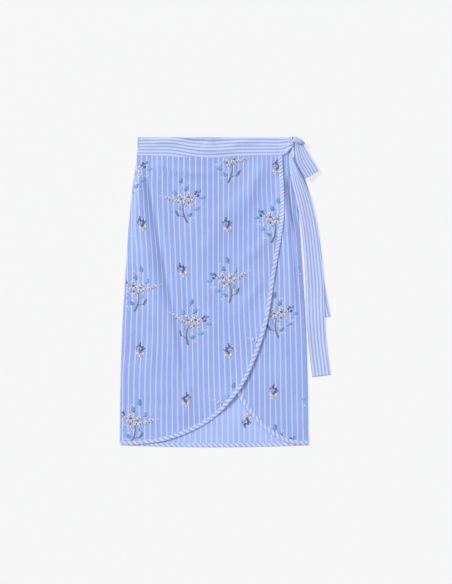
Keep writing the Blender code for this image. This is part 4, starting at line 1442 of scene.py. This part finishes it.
def sew_leaf(bm, leaf, rise=PETAL_RISE, point=LEAF_POINT, sides=PETAL_SIDES):
    """A low crowned leaf, which narrows towards both ends by its point."""
    made = bmesh.ops.create_cone(
        bm, cap_ends=True, segments=sides, radius1=1, radius2=PETAL_CROWN, depth=1
    )
    turn = math.radians(leaf.turn)
    ahead = Vector((math.cos(turn), math.sin(turn)))

    def place(x, y, z):
        along = x * leaf.length / 2
        across = y * (1 - point * x * x) * leaf.width / 2
        turned_x = leaf.x + along * ahead.x - across * ahead.y
        turned_y = leaf.y + along * ahead.y + across * ahead.x
        return turned_x, turned_y, (z + 0.5) * rise, across

    sew(bm, made, leaf.thread, place)


def sew_blossom(bm, blossom):
    """Five petals round a dark middle."""
    reach = PETAL_REACH * blossom.width
    length, width = PETAL_LENGTH * blossom.width, PETAL_WIDTH * blossom.width
    for i, thread in enumerate(PETALS):
        turn = blossom.turn + 360 * i / len(PETALS)
        x = blossom.x + reach * math.cos(math.radians(turn))
        y = blossom.y + reach * math.sin(math.radians(turn))
        sew_leaf(bm, Leaf(x, y, length, width, turn, thread), point=0)
    middle = "navy" if blossom.turn % 20 else "brown"
    size = MIDDLE_WIDTH * blossom.width
    sew_leaf(bm, Leaf(blossom.x, blossom.y, size, size, 0, middle), rise=MIDDLE_RISE, point=0)


def sew_stem(bm, stem):
    """A rounded line of stitches, widest at its end."""
    made = bmesh.ops.create_grid(bm, x_segments=STEM_PIECES, y_segments=STEM_ROWS, size=0.5)
    start, bend, end = (Vector(point) for point in (stem.start, stem.bend, stem.end))

    def place(x, y, z):
        u = x + 0.5
        on = (1 - u) ** 2 * start + 2 * u * (1 - u) * bend + u * u * end
        ahead = ((1 - u) * (bend - start) + u * (end - bend)).normalized()
        across = y * stem.width * (0.5 + 0.5 * u)
        rise = STEM_RISE * (1 - (2 * y) ** 2)
        strand = across + u * stem.width * STEM_TWIST
        return on.x - across * ahead.y, on.y + across * ahead.x, rise, strand

    sew(bm, made, stem.thread, place)


def sew_sprig(bm, stem):
    """Dots on both sides of the line from a stem's start to its end."""
    for i in range(SPRIG_DOTS):
        on = Vector(stem.start).lerp(Vector(stem.end), (i + 1) / SPRIG_DOTS)
        off = DOT_OFF if i % 2 else -DOT_OFF
        dot = Leaf(on.x + off, on.y + off / 2, DOT_LENGTH, DOT_WIDTH, DOT_TURN * i, stem.thread)
        sew_leaf(bm, dot, point=0)


def motif_mesh(name, stems, leaves, blossoms=(), stitches=()):
    """One motif, flat, round its own middle."""
    bm = sewing()
    for stem in stems:
        sew_stem(bm, stem)
        if stem.thread == "mist":
            sew_sprig(bm, stem)
    for leaf in leaves:
        sew_leaf(bm, leaf)
    for blossom in blossoms:
        sew_blossom(bm, blossom)
    for stitch in stitches:
        sew_leaf(bm, stitch, rise=OVER_RISE)
    bm.to_mesh(bpy.data.meshes.new(name))
    bm.free()


def motifs():
    """The two motifs, drawn once."""
    if "spray" not in bpy.data.meshes:
        motif_mesh("spray", SPRAY_STEMS, SPRAY_LEAVES, SPRAY_BLOSSOMS, SPRAY_STITCHES)
        motif_mesh("pansy", PANSY_STEMS, PANSY_PETALS)
    return bpy.data.meshes


def lay_on(bm, face):
    """Lifts flat sewing onto a face, and gives its points in the plan."""
    plan = np.array([vert.co.xy for vert in bm.verts])
    for vert, height in zip(bm.verts, face(*plan.T)):
        vert.co.z += height
    return plan


def embroidery(name, placements, face, inside, side=1):
    """Motifs sewn on a panel's face, or its back for side -1, and cut off where it ends."""
    bm = sewing()
    for placed in placements:
        first = len(bm.verts)
        bm.from_mesh(motifs()[placed.motif])
        bm.verts.ensure_lookup_table()
        matrix = Matrix.Translation((placed.x, placed.y, 0))
        matrix = matrix @ Matrix.Rotation(math.radians(placed.turn), 4, "Z")
        matrix = matrix @ Matrix.Diagonal((placed.hand, 1, side, 1))
        new = bm.verts[first:]
        bmesh.ops.transform(bm, matrix=matrix, verts=new)
        if placed.hand * side < 0:
            faces = list({face for vert in new for face in vert.link_faces})
            bmesh.ops.reverse_faces(bm, faces=faces)
    kept = inside(*lay_on(bm, face).T)
    cut = [vert for vert, keep in zip(bm.verts, kept) if not keep]
    bmesh.ops.delete(bm, geom=cut, context="VERTS")
    bmesh.ops.delete(bm, geom=[v for v in bm.verts if not v.link_faces], context="VERTS")
    materials = [f"thread_{thread}" for thread in THREADS]
    return make_piece(name, bm, materials)


def within(points, side):
    """A test for the points of a front panel that aren't beyond its seams or its edge."""
    edge, _ = edge_lines(points, side)
    edge = edge[np.argsort(edge[:, 1])]

    def inside(x, y):
        bound = np.interp(y, edge[:, 1], edge[:, 0]) + side * EDGE_MARGIN
        across = (side * x < half_width(y) - SIDE_MARGIN) & (side * x > side * bound)
        return across & (y < waist_seam(x) - WAIST_MARGIN) & (y > edge[0, 1] + HEM_MARGIN)

    return inside


def within_back(x, y):
    """Tests for the points of the back panel that aren't beyond its seams or its hem."""
    across = np.abs(x) < half_width(y) - SIDE_MARGIN
    return across & (y < waist_seam(x) - WAIST_MARGIN) & (y > hem_height(x) + BACK_HEM_MARGIN)


class WRAPSKIRT_OT_embroidery(bpy.types.Operator):
    """Sews the sprays and pansies on the panels"""

    bl_idname = "wrapskirt.embroidery"
    bl_label = "Embroidery"

    def execute(self, context):
        def lower_face(x, y):
            return back_face(x, y) - context.scene.wrap_skirt_sizes.shell

        on_overlap, on_underlap = within(OVERLAP_EDGE, -1), within(UNDERLAP_EDGE, 1)
        embroidery("overlap_embroidery", OVERLAP_MOTIFS, overlap_face, on_overlap)
        embroidery("underlap_embroidery", UNDERLAP_MOTIFS, underlap_face, on_underlap)
        embroidery("back_embroidery_inside", BACK_INSIDE_MOTIFS, back_face, within_back)
        embroidery("back_embroidery", BACK_MOTIFS, lower_face, within_back, side=-1)
        return {"FINISHED"}


def stitch_row(name, path, face):
    """Even machine stitches along a line in the plan, on a face."""
    bm = sewing()
    path = path[np.abs(path[:, 0]) < half_width(path[:, 1]) - SIDE_CLEARANCE]
    travel = travelled(path)
    ahead = np.gradient(path, axis=0)
    turns = np.degrees(np.unwrap(np.arctan2(ahead[:, 1], ahead[:, 0])))
    for start in np.arange(STITCH_PITCH / 2, travel[-1], STITCH_PITCH):
        x, y, turn = (np.interp(start, travel, line) for line in (*path.T, turns))
        stitch = Leaf(x, y, STITCH_LENGTH, STITCH_WIDTH, turn, "mist")
        sew_leaf(bm, stitch, sides=STITCH_SIDES)
    lay_on(bm, face)
    for sewn in bm.faces:
        sewn.material_index = 0
    return make_piece(name, bm, ["thread_mist"])


class WRAPSKIRT_OT_stitching(bpy.types.Operator):
    """Stitches the bindings' inner edges and the waistband's lower edge"""

    bl_idname = "wrapskirt.stitching"
    bl_label = "Stitching"

    def execute(self, context):
        bound = (
            ("back_hem", hem_lines(), back_face),
            ("underlap", edge_lines(UNDERLAP_EDGE, 1), underlap_face),
            ("overlap", edge_lines(OVERLAP_EDGE, -1), overlap_face),
        )
        for part, (edge, into), face in bound:
            path = edge[:, :2] + BINDING_STITCH_INSET * into
            stitch_row(f"{part}_stitches", path, lambda x, y: face(x, y) + BINDING_STITCH_RISE)
        x = np.linspace(-TOP_HALF_WIDTH, BAND_TAPER[0][0], BAND_STEPS + 1)
        seam = np.column_stack([x, waist_seam(x) + WAIST_STITCH_INSET])
        stitch_row("waistband_stitches", seam, front_band_face)
        return {"FINISHED"}


# Stage


class Light(NamedTuple):
    """A broad lamp: where it shines from, its spread in degrees and its power."""

    name: str
    place: tuple
    spread: float
    power: float


LIGHTS = (
    Light("key", (-2.7, 1.7, 2.15), 16.0, 2.71),
    Light("fill", (1.0, -0.6, 3.2), 60.0, 0.35),
)
AMBIENT = (0.98, 0.99, 1.0)
AMBIENT_STRENGTH = 0.5
FLOOR_HALF = 6.0
FLOOR_DROP = 0.0002
LENS = 85.0
SENSOR = 36.0
VIEW_LENGTH = 1.41328
VIEW_MIDDLE = (0.0015, 0.0005)
VIEW_DEPTH = 100.0


def link_object(name, data):
    """A new object in the scene."""
    made = bpy.data.objects.new(name, data)
    bpy.context.scene.collection.objects.link(made)
    return made


class WRAPSKIRT_OT_stage(bpy.types.Operator):
    """Makes the floor, the lights and the camera over the skirt"""

    bl_idname = "wrapskirt.stage"
    bl_label = "Stage"

    def execute(self, context):
        bm = bmesh.new()
        bmesh.ops.create_grid(bm, x_segments=1, y_segments=1, size=FLOOR_HALF)
        bmesh.ops.translate(bm, verts=bm.verts, vec=(0, 0, -FLOOR_DROP))
        mesh = bpy.data.meshes.new("floor")
        bm.to_mesh(mesh)
        bm.free()
        mesh.materials.append(finishes()["floor_paper"])
        floor = link_object("floor", mesh)
        for light in LIGHTS:
            lamp = bpy.data.lights.new(light.name, "SUN")
            lamp.energy, lamp.angle = light.power, math.radians(light.spread)
            made = link_object(light.name, lamp)
            made.location = light.place
            made.rotation_euler = (-Vector(light.place)).to_track_quat("-Z", "Y").to_euler()
        world = bpy.data.worlds.new("studio")
        world.use_nodes = True
        background = world.node_tree.nodes["Background"]
        background.inputs["Color"].default_value = (*AMBIENT, 1)
        background.inputs["Strength"].default_value = AMBIENT_STRENGTH
        context.scene.world = world
        context.scene.view_settings.view_transform = "Standard"
        camera = bpy.data.cameras.new("camera")
        camera.lens, camera.sensor_width, camera.clip_end = LENS, SENSOR, VIEW_DEPTH
        made = link_object("camera", camera)
        made.location = (*VIEW_MIDDLE, VIEW_LENGTH * LENS / SENSOR)
        context.scene.camera = made
        return {"FINISHED"}


class WRAPSKIRT_PT_panel(bpy.types.Panel):
    """Lists the steps that dress the skirt"""

    bl_label = "Wrap skirt"
    bl_space_type = "VIEW_3D"
    bl_region_type = "UI"
    bl_category = "Wrap skirt"

    def draw(self, context):
        for operator in OPERATORS:
            self.layout.operator(operator.bl_idname)
        for group in (context.scene.wrap_skirt_sizes, context.scene.wrap_skirt_colours):
            for name in group.bl_rna.properties.keys():
                if name not in ("rna_type", "name"):
                    self.layout.prop(group, name)


OPERATORS = (
    WRAPSKIRT_OT_back,
    WRAPSKIRT_OT_underlap,
    WRAPSKIRT_OT_overlap,
    WRAPSKIRT_OT_waistband,
    WRAPSKIRT_OT_sash,
    WRAPSKIRT_OT_embroidery,
    WRAPSKIRT_OT_stitching,
    WRAPSKIRT_OT_stage,
)
CLASSES = (WrapSkirtSizes, WrapSkirtColours, *OPERATORS, WRAPSKIRT_PT_panel)


def register():
    for cls in CLASSES:
        bpy.utils.register_class(cls)
    bpy.types.Scene.wrap_skirt_sizes = bpy.props.PointerProperty(type=WrapSkirtSizes)
    bpy.types.Scene.wrap_skirt_colours = bpy.props.PointerProperty(type=WrapSkirtColours)


def unregister():
    del bpy.types.Scene.wrap_skirt_colours
    del bpy.types.Scene.wrap_skirt_sizes
    for cls in reversed(CLASSES):
        bpy.utils.unregister_class(cls)


def main():
    register()
    bpy.ops.wrapskirt.back()
    bpy.ops.wrapskirt.underlap()
    bpy.ops.wrapskirt.overlap()
    bpy.ops.wrapskirt.waistband()
    bpy.ops.wrapskirt.sash()
    bpy.ops.wrapskirt.embroidery()
    bpy.ops.wrapskirt.stitching()
    bpy.ops.wrapskirt.stage()


if __name__ == "__main__":
    main()
